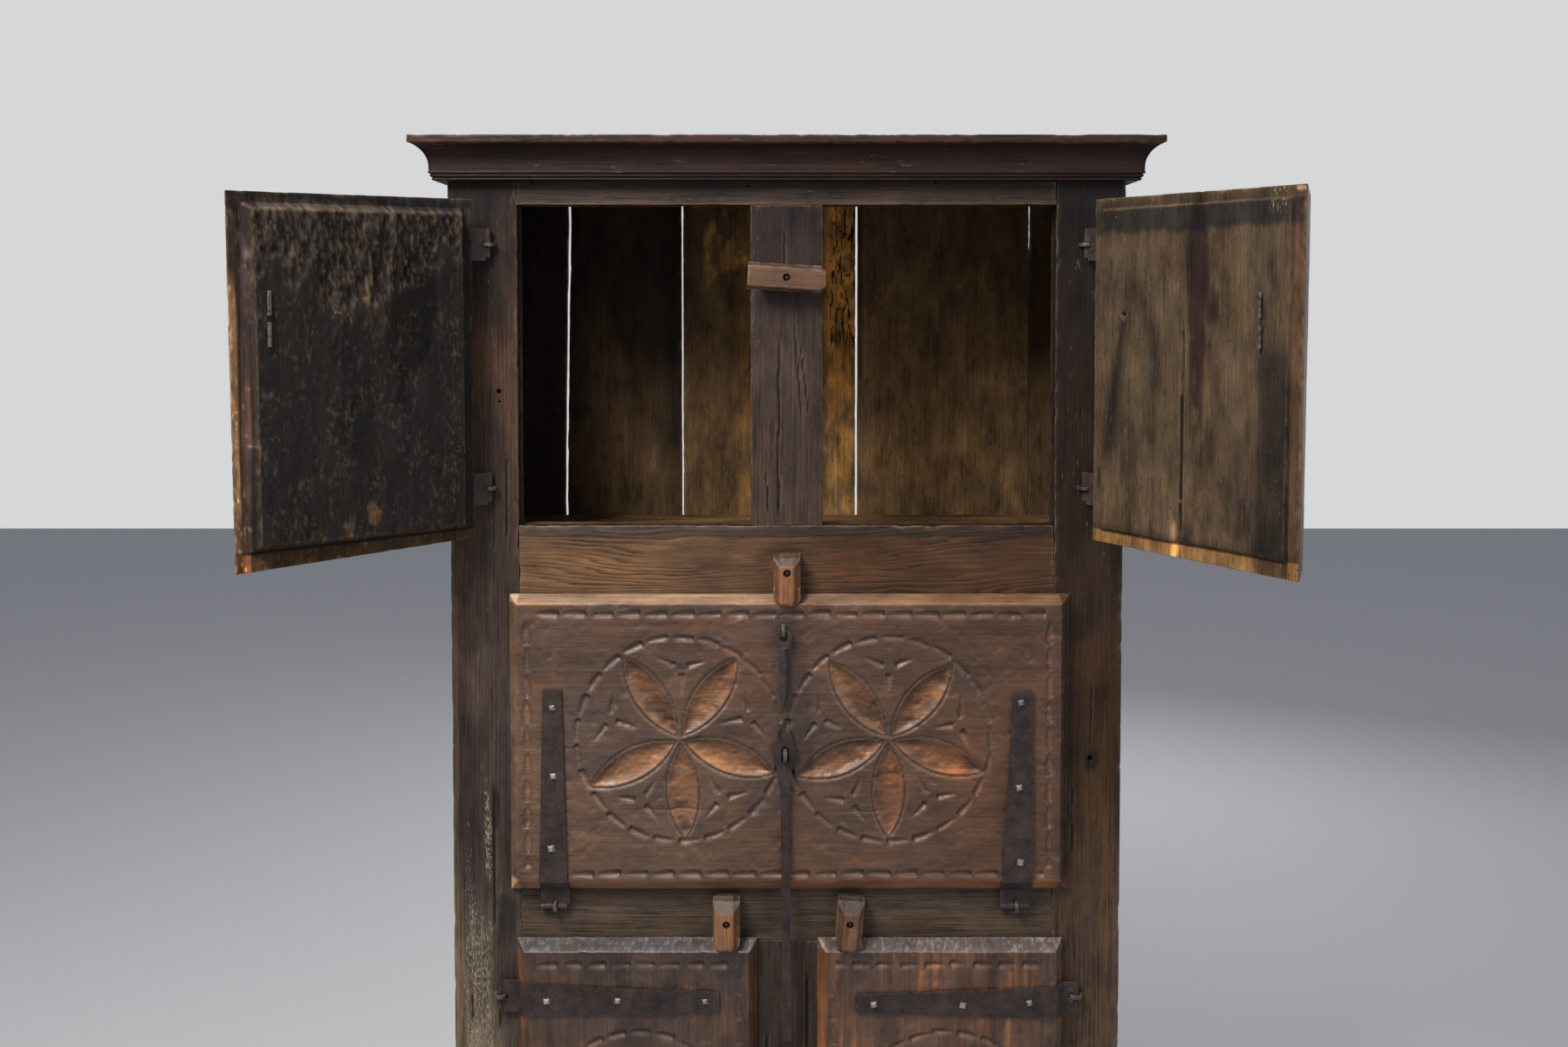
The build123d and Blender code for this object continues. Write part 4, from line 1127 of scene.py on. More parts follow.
def rosette(x, y, centre, petals, seed, ring=RING, scale=1.0):
    """Depth and dark marks, painted shade with some grime, of a five-petalled rosette in a ring of gouges,
    and where its petals are.
    """
    dx, dy = x - centre[0], y - centre[1]
    r = np.hypot(dx, dy)
    angle = np.degrees(np.arctan2(dy, dx)) % 360
    phase = (angle / 360 * RING_GOUGES + 0.35) % RING_GOUGES
    number = np.floor(phase)
    t = 1 - (phase - number)
    size = 1 + 0.14 * chance(number, seed + 4)
    wobble = 1.2 * chance(number, seed)
    carved = gouge((t - 0.04) / 0.94, r - ring - wobble, 12 * size, 4.6 * size)
    scoops = np.zeros_like(x)
    for number, direction in enumerate(petals):
        a = radians(direction)
        s = dx * cos(a) + dy * sin(a)
        v = -dx * sin(a) + dy * cos(a)
        length = PETAL_LENGTH * scale * (1 + 0.02 * chance(number, seed + 8))
        outer = np.clip(lens_half(s - 2, length, PETAL_WIDTH * scale), 0, None) * (s > 2) * (s < length + 2)
        inner = np.clip(outer - OUTLINE_GROOVE, 0, None)
        across = unit(1 - (v / np.clip(inner, 0.1, None)) ** 2) * (inner > 0.4)
        bow = unit(np.minimum(s - 6, length - s) / 30) ** 0.6
        scoop = SCOOP * (1 + 0.1 * chance(number, seed + 9)) * across**0.8 * bow
        into = outer - np.abs(v)  # how far inside the outline
        groove = unit(np.minimum(into / 4.2, (OUTLINE_GROOVE - into) / 1.8)) * (outer > 1.5)
        # a dark line along the outline groove: painted shade with some grime
        line = bell(into - 4.4, 1.3) * (outer > 1.5)
        carved = deepest(carved, (np.maximum(scoop, 3.4 * groove), 0.75 * line))
        scoops = np.where(across > 0.04, number + 0.01 + np.clip(across, 0, 0.98), scoops)
    ordered = sorted(a % 360 for a in petals)
    for number, direction in enumerate(ordered):
        gap = (ordered[(number + 1) % len(ordered)] - direction) % 360
        a = radians(direction + gap / 2 + 3 * chance(number, seed + 11))
        cx, cy = CHIPS_FROM_CENTRE * scale * cos(a), CHIPS_FROM_CENTRE * scale * sin(a)
        for arm, turn in enumerate((180, 72, -72)):
            b = a + radians(turn + 8 * chance(number * 3 + arm, seed + 12))
            s = (dx - cx) * cos(b) + (dy - cy) * sin(b) - 10
            v = -(dx - cx) * sin(b) + (dy - cy) * cos(b)
            length = CHIP_ARM * (1 + 0.12 * chance(number * 3 + arm, seed + 13))
            t = 1 - s / length
            half = 1.0 + 5.6 * unit(t) ** 0.75
            u = unit(np.abs(v) / half)
            wedge = unit(t + 0.08) ** 0.6 * ease(1.05, 0.97, t + 0.05 * u) * (t > 0)
            # the dark stop of each chip: painted shade with some grime
            stop = ease(0.88, 0.98, t) * (t < 1.03) * (u < 0.8)
            carved = deepest(carved, (5.0 * wedge * (1 - u**1.3), 0.9 * stop))
    return (*carved, scoops)


CHIPS_FROM_CENTRE, CHIP_ARM = 113, 33  # the three-armed cuts between the petals
PETAL_DIRECTIONS = (124, 55, -20, -87, -152)  # degrees
FLAP_ROSETTES = (
    ((-166, 1068), PETAL_DIRECTIONS),
    ((158, 1068), (127, 50, -19, -90, -158)),
)


def flap_carving(x, y):
    carved = np.zeros_like(x), np.zeros_like(x)
    petals = np.zeros_like(x)
    for number, (centre, directions) in enumerate(FLAP_ROSETTES):
        cut, dirt_and_shade, where = rosette(x, y, centre, directions, 3 + 40 * number)
        carved = deepest(carved, (cut, dirt_and_shade))
        petals = np.where(where > 0, where + 10 * number, petals)
    for height, seed, ends in ((1264, 21, (-392, 400)), (856, 25, (-340, 400))):
        carved = deepest(carved, gouge_row(x, y - height, *ends, 42, 13, 4.4, seed))
    for column, seed in ((-403, 31), (408, 35)):
        carved = deepest(carved, gouge_row(-y, x - column, -1256, -866, 41, 14, 5.2, seed))
    return (*carved, petals)


def door_carving(x, y, high, low, free, hinge, ring_centre, seed):
    """Gouged rows at the top, foot and free side of a door, and one rosette."""
    cut, dirt_and_shade, where = rosette(x, y, ring_centre, PETAL_DIRECTIONS, seed, DOOR_RING, DOOR_RING_SCALE)
    carved = cut, dirt_and_shade
    for height in (high, low):
        carved = deepest(carved, gouge_row(x, y - height, hinge, free - 4, 38, 13, 4.4, seed + 3, 0.1))
    carved = deepest(carved, gouge_row(-y, x - free, -high + 10, -low - 8, 39, 12, 4.2, seed + 5))
    return (*carved, where)


# ---- doors and flap
# A door's outline runs from its hinge side to its free side.
DOOR_BACK, DOOR_FACE, DOOR_EDGE = 1, 29, 4
FACE_WAVES = 0.35


class Leaf:
    """Heights of a bevelled and carved board; sides are hinge, free, bottom and top."""

    def __init__(self, outline, bevels, field, carve, seed, foot=None, cracks=(), inner=None):
        self.outline, self.bevels, self.field, self.carve = outline, bevels, field, carve
        self.seed, self.foot, self.cracks, self.inner = seed, foot, cracks, inner

    def front(self, x, y, d):
        p = plane_points(x, y)
        wavy = 1.0 * swell(p, (60, 60, 1), self.seed + 2, 2)
        shares = [unit((distance + 0.5 * wavy) / run) for distance, run in zip(d, self.bevels)]
        share = np.minimum(np.minimum(shares[0], shares[1]), np.minimum(shares[2], shares[3]))
        rise = DOOR_FACE - DOOR_BACK - DOOR_EDGE
        z = DOOR_BACK + DOOR_EDGE + rise * share
        edge = np.exp(-(((share - 1) * 14) ** 2))
        chip = unit(swell(p, 17, self.seed + 6, 3) - 0.12)
        z = z - edge * (0.6 + 3.2 * chip)
        z = z - FACE_WAVES * drift(p, (70, 26, 1), self.seed + 8, 3) * (share > 0.05)
        z = z - 0.5 * unit(swell(p, (12, 12, 1), self.seed + 12, 2) - 0.3)
        depth = self.carve(x, y)[0]
        ragged = 1 + 0.16 * swell(p, 6, self.seed + 14, 2)
        z = z - depth * ragged * ease(0.96, 1.0, share)
        for crack in self.cracks:
            z = z - crack_depth(x, y, crack, self.seed)
        return z

    def back(self, x, y, d):
        lips, depth, slope = self.field
        p = plane_points(x, y)
        shares = [unit((distance - lip + 0.7 * swell(p, 45, self.seed + 20 + k, 2)) / slope)
                  for k, (distance, lip) in enumerate(zip(d, lips))]
        if self.foot is not None:
            shares[2] = unit((y - self.foot) / slope)
        share = np.minimum(np.minimum(shares[0], shares[1]), np.minimum(shares[2], shares[3]))
        z = DOOR_BACK - depth * share
        z = z + 0.25 + 0.3 * swell(p, (40, 90, 1), self.seed + 30, 3) * share + 0.25 * share
        if self.inner:
            z = z + self.inner(x, y) * share
        return z


def carved_leaf(node, leaf, place, step, along, tint, deep, flaked=None, back_every=4):
    bevel_lines = [tuple(run + e for e in (-3.0, -1.2, -0.3, 0.5, 1.5)) for run in leaf.bevels]
    lips, _, slope = leaf.field
    if back_every == 1:
        bevel_lines = [lines + (lip - 0.8, lip + slope / 2, lip + slope + 0.8) for lines,
                       lip in zip(bevel_lines, lips)]
    # the 0.75 below sets the painted sheen and shade on the walls of cuts
    plank(node, node, leaf.outline, place, leaf.front, leaf.back, step, LEAF_OAK, along,
                 leaf.seed, tint, deep, 0.25, flaked, BACK_OF_LEAF, 0.75, back_every=back_every,
          lines=bevel_lines,
                 arris=1.1, bite=1.0, bite_size=16)


FLAP_OUTLINE = rect(-433, 441, 824.4, 1291.7)
FLAP_BEVELS = (16, 16, 22, 12)
FLAP_FIELD = ((20, 27, 20, 13), 12, 4)


def flap_tint(v):
    x, y, z = v.T
    front = z > 3
    depth, _, petals = flap_carving(x, y)
    fleck = drift(v, (26, 9, 30), 63, 3)
    cloud = ease(-0.15, 0.45, swell(v, (150, 55, 30), 66, 5))
    dash = ease(0.35, 0.6, swell(v, (34, 3, 30), 67, 3))
    top = ease(1279.5, 1281.5, y)
    # painted highlight: a thin pale line along the lower edge of the top bevel
    ridge_highlight = bell(y - 1279, 1.6) * ease(-430, -420, x)
    left = ease(-417, -419, x)
    bottom = ease(848, 845, y)
    right = ease(424.5, 426.5, x)
    inside = front * (petals > 0)
    figure = drift(v, (30, 12, 30), 68, 4)
    # painted sheen: a lilac-grey reflection over the lower left of the flap
    painted_sheen = ease(60, -260, x + 50 * swell(v, (90, 60, 30), 70, 3)) * ease(1240, 1060, y)
    patches = [
        (1.0, (0.94, 0.86, 0.85)),
        (0.85 * cloud, (1.4, 1.3, 1.07)),
        (0.4 * dash, (1.6, 1.6, 1.7)),
        (0.7 * painted_sheen, (1.2, 1.4, 1.62)),
        (ease(60, 330, x), (0.98, 0.86, 0.7)),
        *stains(
            v,
            (0.6, (-385, 1010), (40, 190), 5, 0.8, (1.6, 1.42, 1.05)),
            (0.6, (-330, 930), (60, 70), 15, 0.7, (1.4, 1.3, 1.05)),
            (0.5, (385, 950), (40, 180), 6, 0.7, (1.3, 1.2, 1.0)),
            (0.65, (-120, 885), (240, 34), 7, 0.7, (1.4, 1.28, 1.0)),
            (0.5, (300, 960), (44, 110), 16, 0.7, (1.5, 1.3, 1.0)),
            (0.5, (-60, 1180), (36, 90), 17, 0.7, (1.45, 1.25, 1.0)),
            (0.7, (14, 1120), (26, 150), 8, 0.7, (0.45, 0.45, 0.5)),
            (0.6, (240, 1210), (160, 36), 9, 0.7, (0.66, 0.64, 0.68)),
            (0.5, (-180, 1250), (140, 16), 18, 0.5, (1.35, 1.2, 1.0)),
        ),
        (0.9 * ease(405, 425, x), (0.7, 0.68, 0.66)),
        ((1 - inside) * ease(0.8, 2.6, depth), (1.4, 1.4, 1.38)),
        ((1 - inside) * ease(1.5, 3.5, depth) * ease(395, 405, np.abs(x)), (1.35, 1.3, 1.25)),
        (inside * (0.45 + 0.55 * fleck), (2.35, 1.9, 1.1)),
        (inside * ease(0.5, 0.25, figure), (0.4, 0.34, 0.3)),
        (inside * 0.8 * ease(0.62, 0.8, figure), (1.5, 1.5, 1.35)),
        (top * (0.75 + 0.25 * fleck), (2.45, 2.9, 2.8)),
        (top * 0.8 * ease(-60, 160, x), (0.7, 0.66, 0.66)),
        (top * 0.45 * ease(0.1, 0.5, swell(v, (40, 4, 8), 69, 3)), (0.6, 0.5, 0.42)),
        (ridge_highlight * 0.8, (2.2, 2.3, 2.3)),
        (left * (0.4 + 0.6 * fleck), (2.1, 2.3, 2.0)),
        (bottom * (0.7 + 0.3 * fleck), (4.6, 4.1, 3.2)),
        (right * (0.8 + 0.2 * fleck), (0.3, 0.27, 0.21)),
    ]
    for number, (centre, directions) in enumerate(FLAP_ROSETTES):
        a = radians(directions[0])
        blotch = (centre[0] + 60 * cos(a), centre[1] + 60 * sin(a))
        patches.append((inside * 0.75 * spot(x, y, blotch, (24, 17), 11 + number, 1.1), (0.35, 0.32, 0.32)))
        # painted highlight on the lower-left petal of each rosette
        a = radians(directions[4])
        petal_highlight = (centre[0] + 80 * cos(a), centre[1] + 80 * sin(a))
        patches.append((inside * 0.6 * spot(x, y, petal_highlight, (66, 24), 13), (1.3, 1.2, 1.1)))
    patches = [(front * weight, colour) for weight, colour in patches]
    return tinted(v, *patches) * uneven(v, 51, 0.15, (200, 60, 60))


# the carvings' dark marks on the front: painted shade with some grime
def carved_shade_and_dirt(carve):
    return lambda v: (v[:, 2] > 3) * 0.8 * carve(*v.T[:2])[1]


flap_leaf = Leaf(FLAP_OUTLINE, FLAP_BEVELS, FLAP_FIELD, flap_carving, 50,
                 cracks=[(20, 955, 250, 958, 0.9, 2), (-300, 960, -60, 957, 0.8, 2)])
carved_leaf("flap", flap_leaf, FRONT, (2.3, 2.3), "x", flap_tint, carved_shade_and_dirt(flap_carving))

LEAF_BEVELS = (14, 14, 14, 14)
LOWER_EDGES, LOWER_ROWS, LOWER_ROSETTE = (170, 746), (712, 204), 452
LOWER_LEAVES = {  # side, hinge edge, free edge, middle of the rosette, gouged column, colour
    "lower_left_door": (1, 27, 405, -234, -74, (0.82, 0.8, 0.84)),
    "lower_right_door": (-1, 22, 408, 250, 74, (1.14, 1.0, 0.9)),
}
UPPER_ROWS, UPPER_ROSETTE, UPPER_STEP = (1866, 1412), 1640, 1400


def lower_leaf(node, seed):
    side, hinge, reach, rosette_at, column, colour = LOWER_LEAVES[node]
    pivot = joints[node + "_hinge"]["pos_m"][0] / MM
    centre = (side * (rosette_at - pivot), LOWER_ROSETTE)
    free = side * (column - pivot)

    def carve(x, y):
        return door_carving(x, y, *LOWER_ROWS, free, hinge + 30, centre, seed)

    def tint(v):
        x, y, z = v.T
        front = z > 3
        depth, _, petals = carve(x, y)
        fleck = drift(v, (8, 34, 30), seed + 3, 3)
        streak = swell(v, (7, 150, 30), seed + 4, 3)
        rubbed = ease(-0.15, 0.3, swell(v, (60, 110, 30), seed + 5, 3))
        blot = ease(0.05, 0.3, swell(v, (40, 60, 30), seed + 6, 4))
        # speck: where fine highlights are painted on the top bevel
        speck = ease(0.0, 0.5, swell(v, (3.5, 3.5, 9), seed + 7, 2))
        top = front * ease(730.5, 733, y)
        far = front * ease(reach - 15, reach - 12, x)
        near = front * ease(hinge + 14, hinge + 12, x)
        beside = front * (1 - top)
        return tinted(
            v,
            (front, colour),
            (beside * ease(0.05, 0.45, streak) * (0.1 + 0.9 * rubbed), (2.2, 1.75, 1.15)),
            (beside * 0.6 * rubbed, (1.4, 1.2, 0.92)),
            (beside * 0.6 * ease(-0.15, -0.45, streak), (0.45, 0.42, 0.45)),
            (beside * 0.8 * blot, (0.5, 0.47, 0.54)),
            (beside * (petals == 0) * ease(1.0, 3.0, depth), (1.4, 1.4, 1.4)),
            (front * (petals > 0) * 0.6 * fleck, (1.5, 1.35, 1.05)),
            (top, (0.68, 1.06, 1.55)),
            # painted highlights: fine pale specks over the top bevel
            (top * 0.9 * speck, (2.6, 2.7, 2.8)),
            (far * (0.3 + 0.6 * fleck), (2.4, 2.0, 1.35)),
            (near * 0.7 * fleck, (2.0, 1.7, 1.2)),
            (beside * 0.4 * ease(690, 731, y), (0.75, 0.78, 0.85)),
        ) * uneven(v, seed, 0.22, (60, 260, 60))

    outline = rect(hinge, reach, *LOWER_EDGES)
    leaf = Leaf(outline, LEAF_BEVELS, ((24, 20, 20, 16), 14, 5), carve, seed,
                cracks=[(170, 590, 168, 700, 1.0, 2.5), (260, 180, 262, 330, 1.2, 3)])
    carved_leaf(node, leaf, leaf_place(node, side), (2.5, 2.6), "y", tint, carved_shade_and_dirt(carve))


lower_leaf("lower_left_door", 71)
lower_leaf("lower_right_door", 83)


def upper_leaf(node, side, hinge, reach, bottom, top, field, seed, inner, inner_tint, inner_grime,
               inner_flaking,
               cracks=()):
    outline = [(hinge, bottom[0]), (reach[0], bottom[1]), (reach[1], top[1]), (hinge, top[0])]
    centre = ((hinge + reach[0]) / 2, UPPER_ROSETTE)

    def carve(x, y):
        return door_carving(x, y, *UPPER_ROWS, reach[0] - 30, hinge + 30, centre, seed)

    def tint(v):
        x, y, z = v.T
        petals = carve(x, y)[2]
        fleck = drift(v, (8, 34, 30), seed + 3, 3)
        streak = drift(v, (5, 120, 30), seed + 4, 3)
        out = tinted(
            v,
            (0.8 * ease(0.55, 0.75, streak), (2.0, 1.7, 1.25)),
            (0.6 * ease(0.45, 0.25, streak), (0.55, 0.52, 0.56)),
            ((petals > 0) * 0.6 * fleck, (1.5, 1.35, 1.05)),
        ) * uneven(v, seed, 0.22, (60, 260, 60))
        return np.where((z <= 3)[:, None], inner_tint(v), out)

    # the carvings' dark marks in here are painted shade with some grime
    def grime(v):
        front = v[:, 2] > 3
        return carved_shade_and_dirt(carve)(v) + ~front * inner_grime(v)

    leaf = Leaf(outline, LEAF_BEVELS, field, carve, seed, UPPER_STEP, cracks, inner)
    carved_leaf(node, leaf, leaf_place(node, side), (2.8, 2.8), "y", tint, grime,
                lambda v: (v[:, 2] <= 3) * inner_flaking(v), 1)


def bark_edge(x, y, low, high):
    """1 where the left door's inner face is bark-like, above a ragged line that dips in its middle."""
    p = plane_points(x, y)
    line = 1800 - 55 * bell(x - 225, 60) + 30 * ease(150, 60, x)
    return ease(low, high, y - line + 60 * swell(p, (26, 50, 1), 91, 4))


def torn_wood(x, y):
    """0 to 1: fibres torn out of the left door's inner face, short and ragged."""
    p = plane_points(x, y)
    return unit(0.5 + 0.9 * swell(p, (5.5, 15, 1), 92, 3) + 0.5 * swell(p, (20, 34, 1), 93, 2))


def left_inner(x, y):
    """Bark-like furrows in the upper part, rough dry wood below; up is into the board."""
    rough = bark_edge(x, y, -14, 14)
    torn = torn_wood(x, y)
    return rough * 5.0 * (1 - torn) + (1 - rough) * 0.9 * ease(0.4, 0.1, torn)


def left_inner_tint(v):
    x, y = v.T[:2]
    rough = bark_edge(x, y, -22, 18)
    torn = torn_wood(x, y)
    fleck = ease(0.5, 0.8, torn)
    free_edge = np.interp(y, (1374, 1895), (408, 415))
    outer_lip = ease(free_edge - 11, free_edge - 8, x + 2 * swell(v, (30, 60, 30), 88, 2))
    lip_free = ease(396, 399, x)
    step_free = ease(386, 389, x) * ease(398.5, 396.5, x)
    lip_low = ease(1401, 1398.5, y)
    crust = ease(0.2, 0.42, swell(v, (3.2, 8, 30), 95, 3)) * ease(-0.15, 0.25,
                                                                  swell(v, (50, 40, 30), 89, 3))
    return tinted(
        v,
        (1.0, (0.23, 0.255, 0.35)),
        (rough * (0.15 + 0.85 * fleck), (3.1, 2.8, 2.3)),
        (rough * ease(0.45, 0.2, torn), (0.4, 0.38, 0.38)),
        ((1 - rough) * 0.9 * crust, (4.4, 4.1, 3.6)),
        (0.9 * spot(x, y, (205, 1725), (16, 46), 98, 1.2) * (0.3 + 0.7 * fleck), (4.0, 3.4, 2.5)),
        (0.8 * spot(x, y, (262, 1712), (12, 12), 94, 1.0) * fleck, (3.2, 2.9, 2.3)),
        *stains(
            v,
            (0.9, (150, 1735), (32, 120), 98, 1.3, (0.2, 0.17, 0.18)),
            (0.9, (213, 1443), (10, 18), 99, 1.0, (7.0, 5.2, 3.1)),
            (0.8, (249, 1424), (9, 14), 97, 1.0, (5.0, 3.8, 2.5)),
            (0.8, (300, 1415), (10, 16), 93, 1.0, (3.4, 2.6, 1.8)),
            (0.8, (370, 1617), (9, 5), 96, 0.7, (5.0, 4.6, 3.8)),
        ),
        (step_free * 0.95, (3.2, 2.4, 2.6)),
        (step_free * 0.9 * ease(1680, 1620, y), (2.1, 1.9, 1.4)),
        (lip_free * 0.9, (2.0, 1.45, 1.1)),
        (outer_lip * (1 - lip_low) * ease(1800, 1740, y) * (0.5 + 0.5 * fleck), (15, 14, 9.5)),
        (lip_low * (0.6 + 0.4 * fleck), (5.6, 3.7, 1.75)),
    ) * uneven(v, 90, 0.3, (40, 80, 60))


def left_inner_grime(v):
    x, y = v.T[:2]
    line = ease(1404, 1401.5, y) * ease(1398, 1400, y)
    hole = np.hypot(x - 366, y - 1703)
    return unit(0.7 * line + ease(5, 2.5, hole) + 0.6 * ease(1886, 1890, y) * ease(120, 200, x))


def left_inner_flaking(v):
    x, y = v.T[:2]
    rough = bark_edge(x, y, -40, 0)
    scratched = spot(x, y, (78, 1530), (22, 100), 85, 0.9)
    low = spot(x, y, (240, 1430), (120, 26), 86, 0.9)
    inside = ease(398, 386, x) * ease(1400, 1404, y) * ease(1888, 1884, y)
    return inside * (0.2 + 0.38 * rough + 0.55 * scratched + 0.35 * low
                     + 0.3 * spot(x, y, (260, 1690), (90, 60), 87, 0.8))


HOLE_RIGHT = (94.8, 1726)
RIGHT_CRACK = (209, 1395, 212, 1722, 3.2, 7)


def right_inner(x, y):
    p = plane_points(x, y)
    tear = unit(swell(p, (6, 40, 1), 104, 3) - 0.2) * 1.0
    crack = crack_depth(x, y, RIGHT_CRACK, 105)
    hole = ease(4.4, 3.4, np.hypot(x - HOLE_RIGHT[0], y - HOLE_RIGHT[1])) * 8
    gash = crack_depth(x, y, (349, 1650, 352, 1700, 3.5, 3), 106)
    return tear + crack + hole + gash


def right_inner_tint(v):
    x, y = v.T[:2]
    band_line = 1850 + 7 * swell(v, (16, 30, 30), 103, 3) - 14 * unit(swell(v, (26, 400, 30), 102, 2))
    top_band = ease(band_line - 5, band_line + 4, y) * ease(1884, 1881, y)
    fleck = drift(v, (5, 26, 30), 106, 3)
    lip_free = ease(395, 398, x)
    lip_low = ease(1401, 1398.5, y)
    wander = 9 * swell(v, (30, 50, 30), 107, 3)
    edge_dirt = ease(336, 356, x + wander) * ease(396, 394, x) * ease(1720, 1660, y)
    splinter_top = 1440 - 8 * swell(v, (3, 9, 9), 5, 2)
    splinter = bell(x - 197 - 3.5 * (y - 1410) / 40, 5.0) * ease(0, 22, splinter_top - y)
    down = 1726 - y
    streak = bell(x - 94.8 + down * 0.155, 6 + 0.07 * np.clip(down, 0, 300))
    streak = streak * ease(-4, 6, down) * ease(245, 190, down)
    second = bell(x - 150, 13) * ease(1740, 1690, y) * ease(1520, 1570, y)
    return tinted(
        v,
        (1.0, (1.28, 1.17, 1.03)),
        (0.35 * fleck, (0.8, 0.78, 0.76)),
        *stains(
            v,
            (0.5, (300, 1760), (40, 60), 111, 0.8, (1.15, 1.1, 1.0)),
            (0.6, (250, 1600), (12, 70), 112, 0.8, (1.6, 1.45, 1.15)),
            (0.95, (240, 1770), (26, 140), 108, 0.9, (0.36, 0.28, 0.35)),
            (0.5, (258, 1670), (30, 40), 118, 1.0, (0.5, 0.42, 0.48)),
            (0.5, (305, 1500), (60, 110), 109, 0.9, (0.72, 0.68, 0.74)),
            (0.6, (215, 1810), (60, 40), 122, 0.9, (0.6, 0.52, 0.54)),
            (0.5, (330, 1440), (50, 40), 123, 0.9, (0.62, 0.62, 0.68)),
            (0.4, (120, 1450), (60, 50), 110, 0.9, (0.75, 0.72, 0.75)),
        ),
        (0.4 * ease(0.1, 0.5, swell(v, (26, 40, 30), 120, 4)), (0.72, 0.68, 0.66)),
        (0.3 * ease(0.1, 0.5, swell(v, (14, 26, 30), 121, 4)), (1.4, 1.35, 1.25)),
        (0.6 * ease(1560, 1450, y), (1.3, 1.3, 1.3)),
        (0.95 * top_band, (0.32, 0.4, 0.58)),
        (0.6 * ease(1835, 1852, y), (0.7, 0.7, 0.75)),
        (0.8 * ease(1882, 1885, y), (0.75, 0.72, 0.72)),
        (0.95 * edge_dirt, (0.26, 0.28, 0.35)),
        (0.95 * streak, (0.22, 0.22, 0.27)),
        (0.55 * second, (0.5, 0.5, 0.54)),
        (0.95 * splinter, (3.8, 3.4, 2.8)),
        (lip_free * 0.85, (1.1, 0.88, 0.85)),
        (lip_low * (0.7 + 0.3 * fleck), (3.2, 2.5, 1.5)),
        (0.9 * spot(x, y, (408, 1893), (8, 4), 119, 0.6), (7, 7.5, 8)),
    ) * uneven(v, 100, 0.16, (50, 200, 60))


def right_inner_grime(v):
    x, y = v.T[:2]
    around = np.hypot(x - 351, y - 1712)
    low_fringe = ease(1416, 1402, y + 5 * swell(v, (4, 9, 9), 6, 2)) * ease(1400, 1402, y) * 0.5
    hole = ease(4.6, 3.6, np.hypot(x - HOLE_RIGHT[0], y - HOLE_RIGHT[1]))
    return unit(crack_line(v, RIGHT_CRACK, 105) + ease(6, 3, around) * 0.8 + hole + low_fringe)


def right_inner_flaking(v):
    x, y = v.T[:2]
    return ease(396, 392, x) * (0.3 + 0.3 * ease(340, 375, x) + 0.3 * ease(1850, 1875, y))


upper_leaf("upper_left_door", 1, 33, (408, 415), (1385, 1374), (1903, 1895), ((18, 20, 18, 15), 20, 9), 90,
           left_inner, left_inner_tint, left_inner_grime, left_inner_flaking)
upper_leaf("upper_right_door", -1, 27, (411, 416), (1381, 1376), (1903, 1898), ((20, 18, 18, 15), 6, 1.5),
           100,
           right_inner, right_inner_tint, right_inner_grime, right_inner_flaking,
           [(222, 1390, 219, 1560, 1.4, 4)])


# ---- cornice
CORNICE_OUT, FILLET, COVE = 50, 12, 40
COVE_OUT, CORNICE_FOOT, CORNICE_BASE = 24, 17, HEIGHT - 67
BEADS = 3


def arc_through(a, b, c, count):
    """Points on the circle through three points, from a to c."""
    (ax, ay), (bx, by), (cx, cy) = a, b, c
    d = 2 * (ax * (by - cy) + bx * (cy - ay) + cx * (ay - by))
    ux = ((ax * ax + ay * ay) * (by - cy) + (bx * bx + by * by) * (cy - ay)
          + (cx * cx + cy * cy) * (ay - by)) / d
    uy = ((ax * ax + ay * ay) * (cx - bx) + (bx * bx + by * by) * (ax - cx)
          + (cx * cx + cy * cy) * (bx - ax)) / d
    radius = np.hypot(ax - ux, ay - uy)
    start, through, stop = (atan2(y - uy, x - ux) for x, y in (a, b, c))
    way_b, way_c = (through - start) % (2 * pi), (stop - start) % (2 * pi)
    turn = way_c if way_b < way_c else way_c - 2 * pi
    return [(ux + radius * cos(t), uy + radius * sin(t)) for t in np.linspace(start, start + turn, count)]


def cornice_section():
    """The moulding's outline, out of the carcass and up: fillet, cove, beads and a flat back."""
    cove_low = HEIGHT - FILLET - COVE
    bead = (cove_low - CORNICE_BASE) / BEADS
    step = (COVE_OUT - CORNICE_FOOT) / BEADS
    line = [(0.0, CORNICE_BASE), (CORNICE_FOOT - 0.5, CORNICE_BASE)]
    for number in reversed(range(BEADS)):
        outer, top = COVE_OUT - number * step, cove_low - number * bead
        low = top - bead
        line += arc_through((outer - step + 0.4, low), (outer + 0.3, top - bead * 0.45),
                            (outer - 0.7, top - 0.5), 6)
        line.append((outer - 0.9, top - 0.1))
    cove = arc_through((COVE_OUT, cove_low), (COVE_OUT + 6, cove_low + 0.66 * COVE),
                       (CORNICE_OUT - 2, HEIGHT - FILLET), 18)
    line += cove[1:]
    line += [(CORNICE_OUT - 0.8, HEIGHT - FILLET + 0.1), (CORNICE_OUT, HEIGHT - FILLET + 1)]
    line += [(CORNICE_OUT, HEIGHT - FILLET + h) for h in (3, 5.5, 8, 10)]
    line += [(CORNICE_OUT - 0.2, HEIGHT - 0.8), (CORNICE_OUT - 1, HEIGHT), (CORNICE_OUT - 4, HEIGHT)]
    line += [(x, HEIGHT) for x in (36, 24, 12, 0)]
    line += [(0.0, y) for y in (HEIGHT - 22, HEIGHT - 44)]
    return np.array(line)


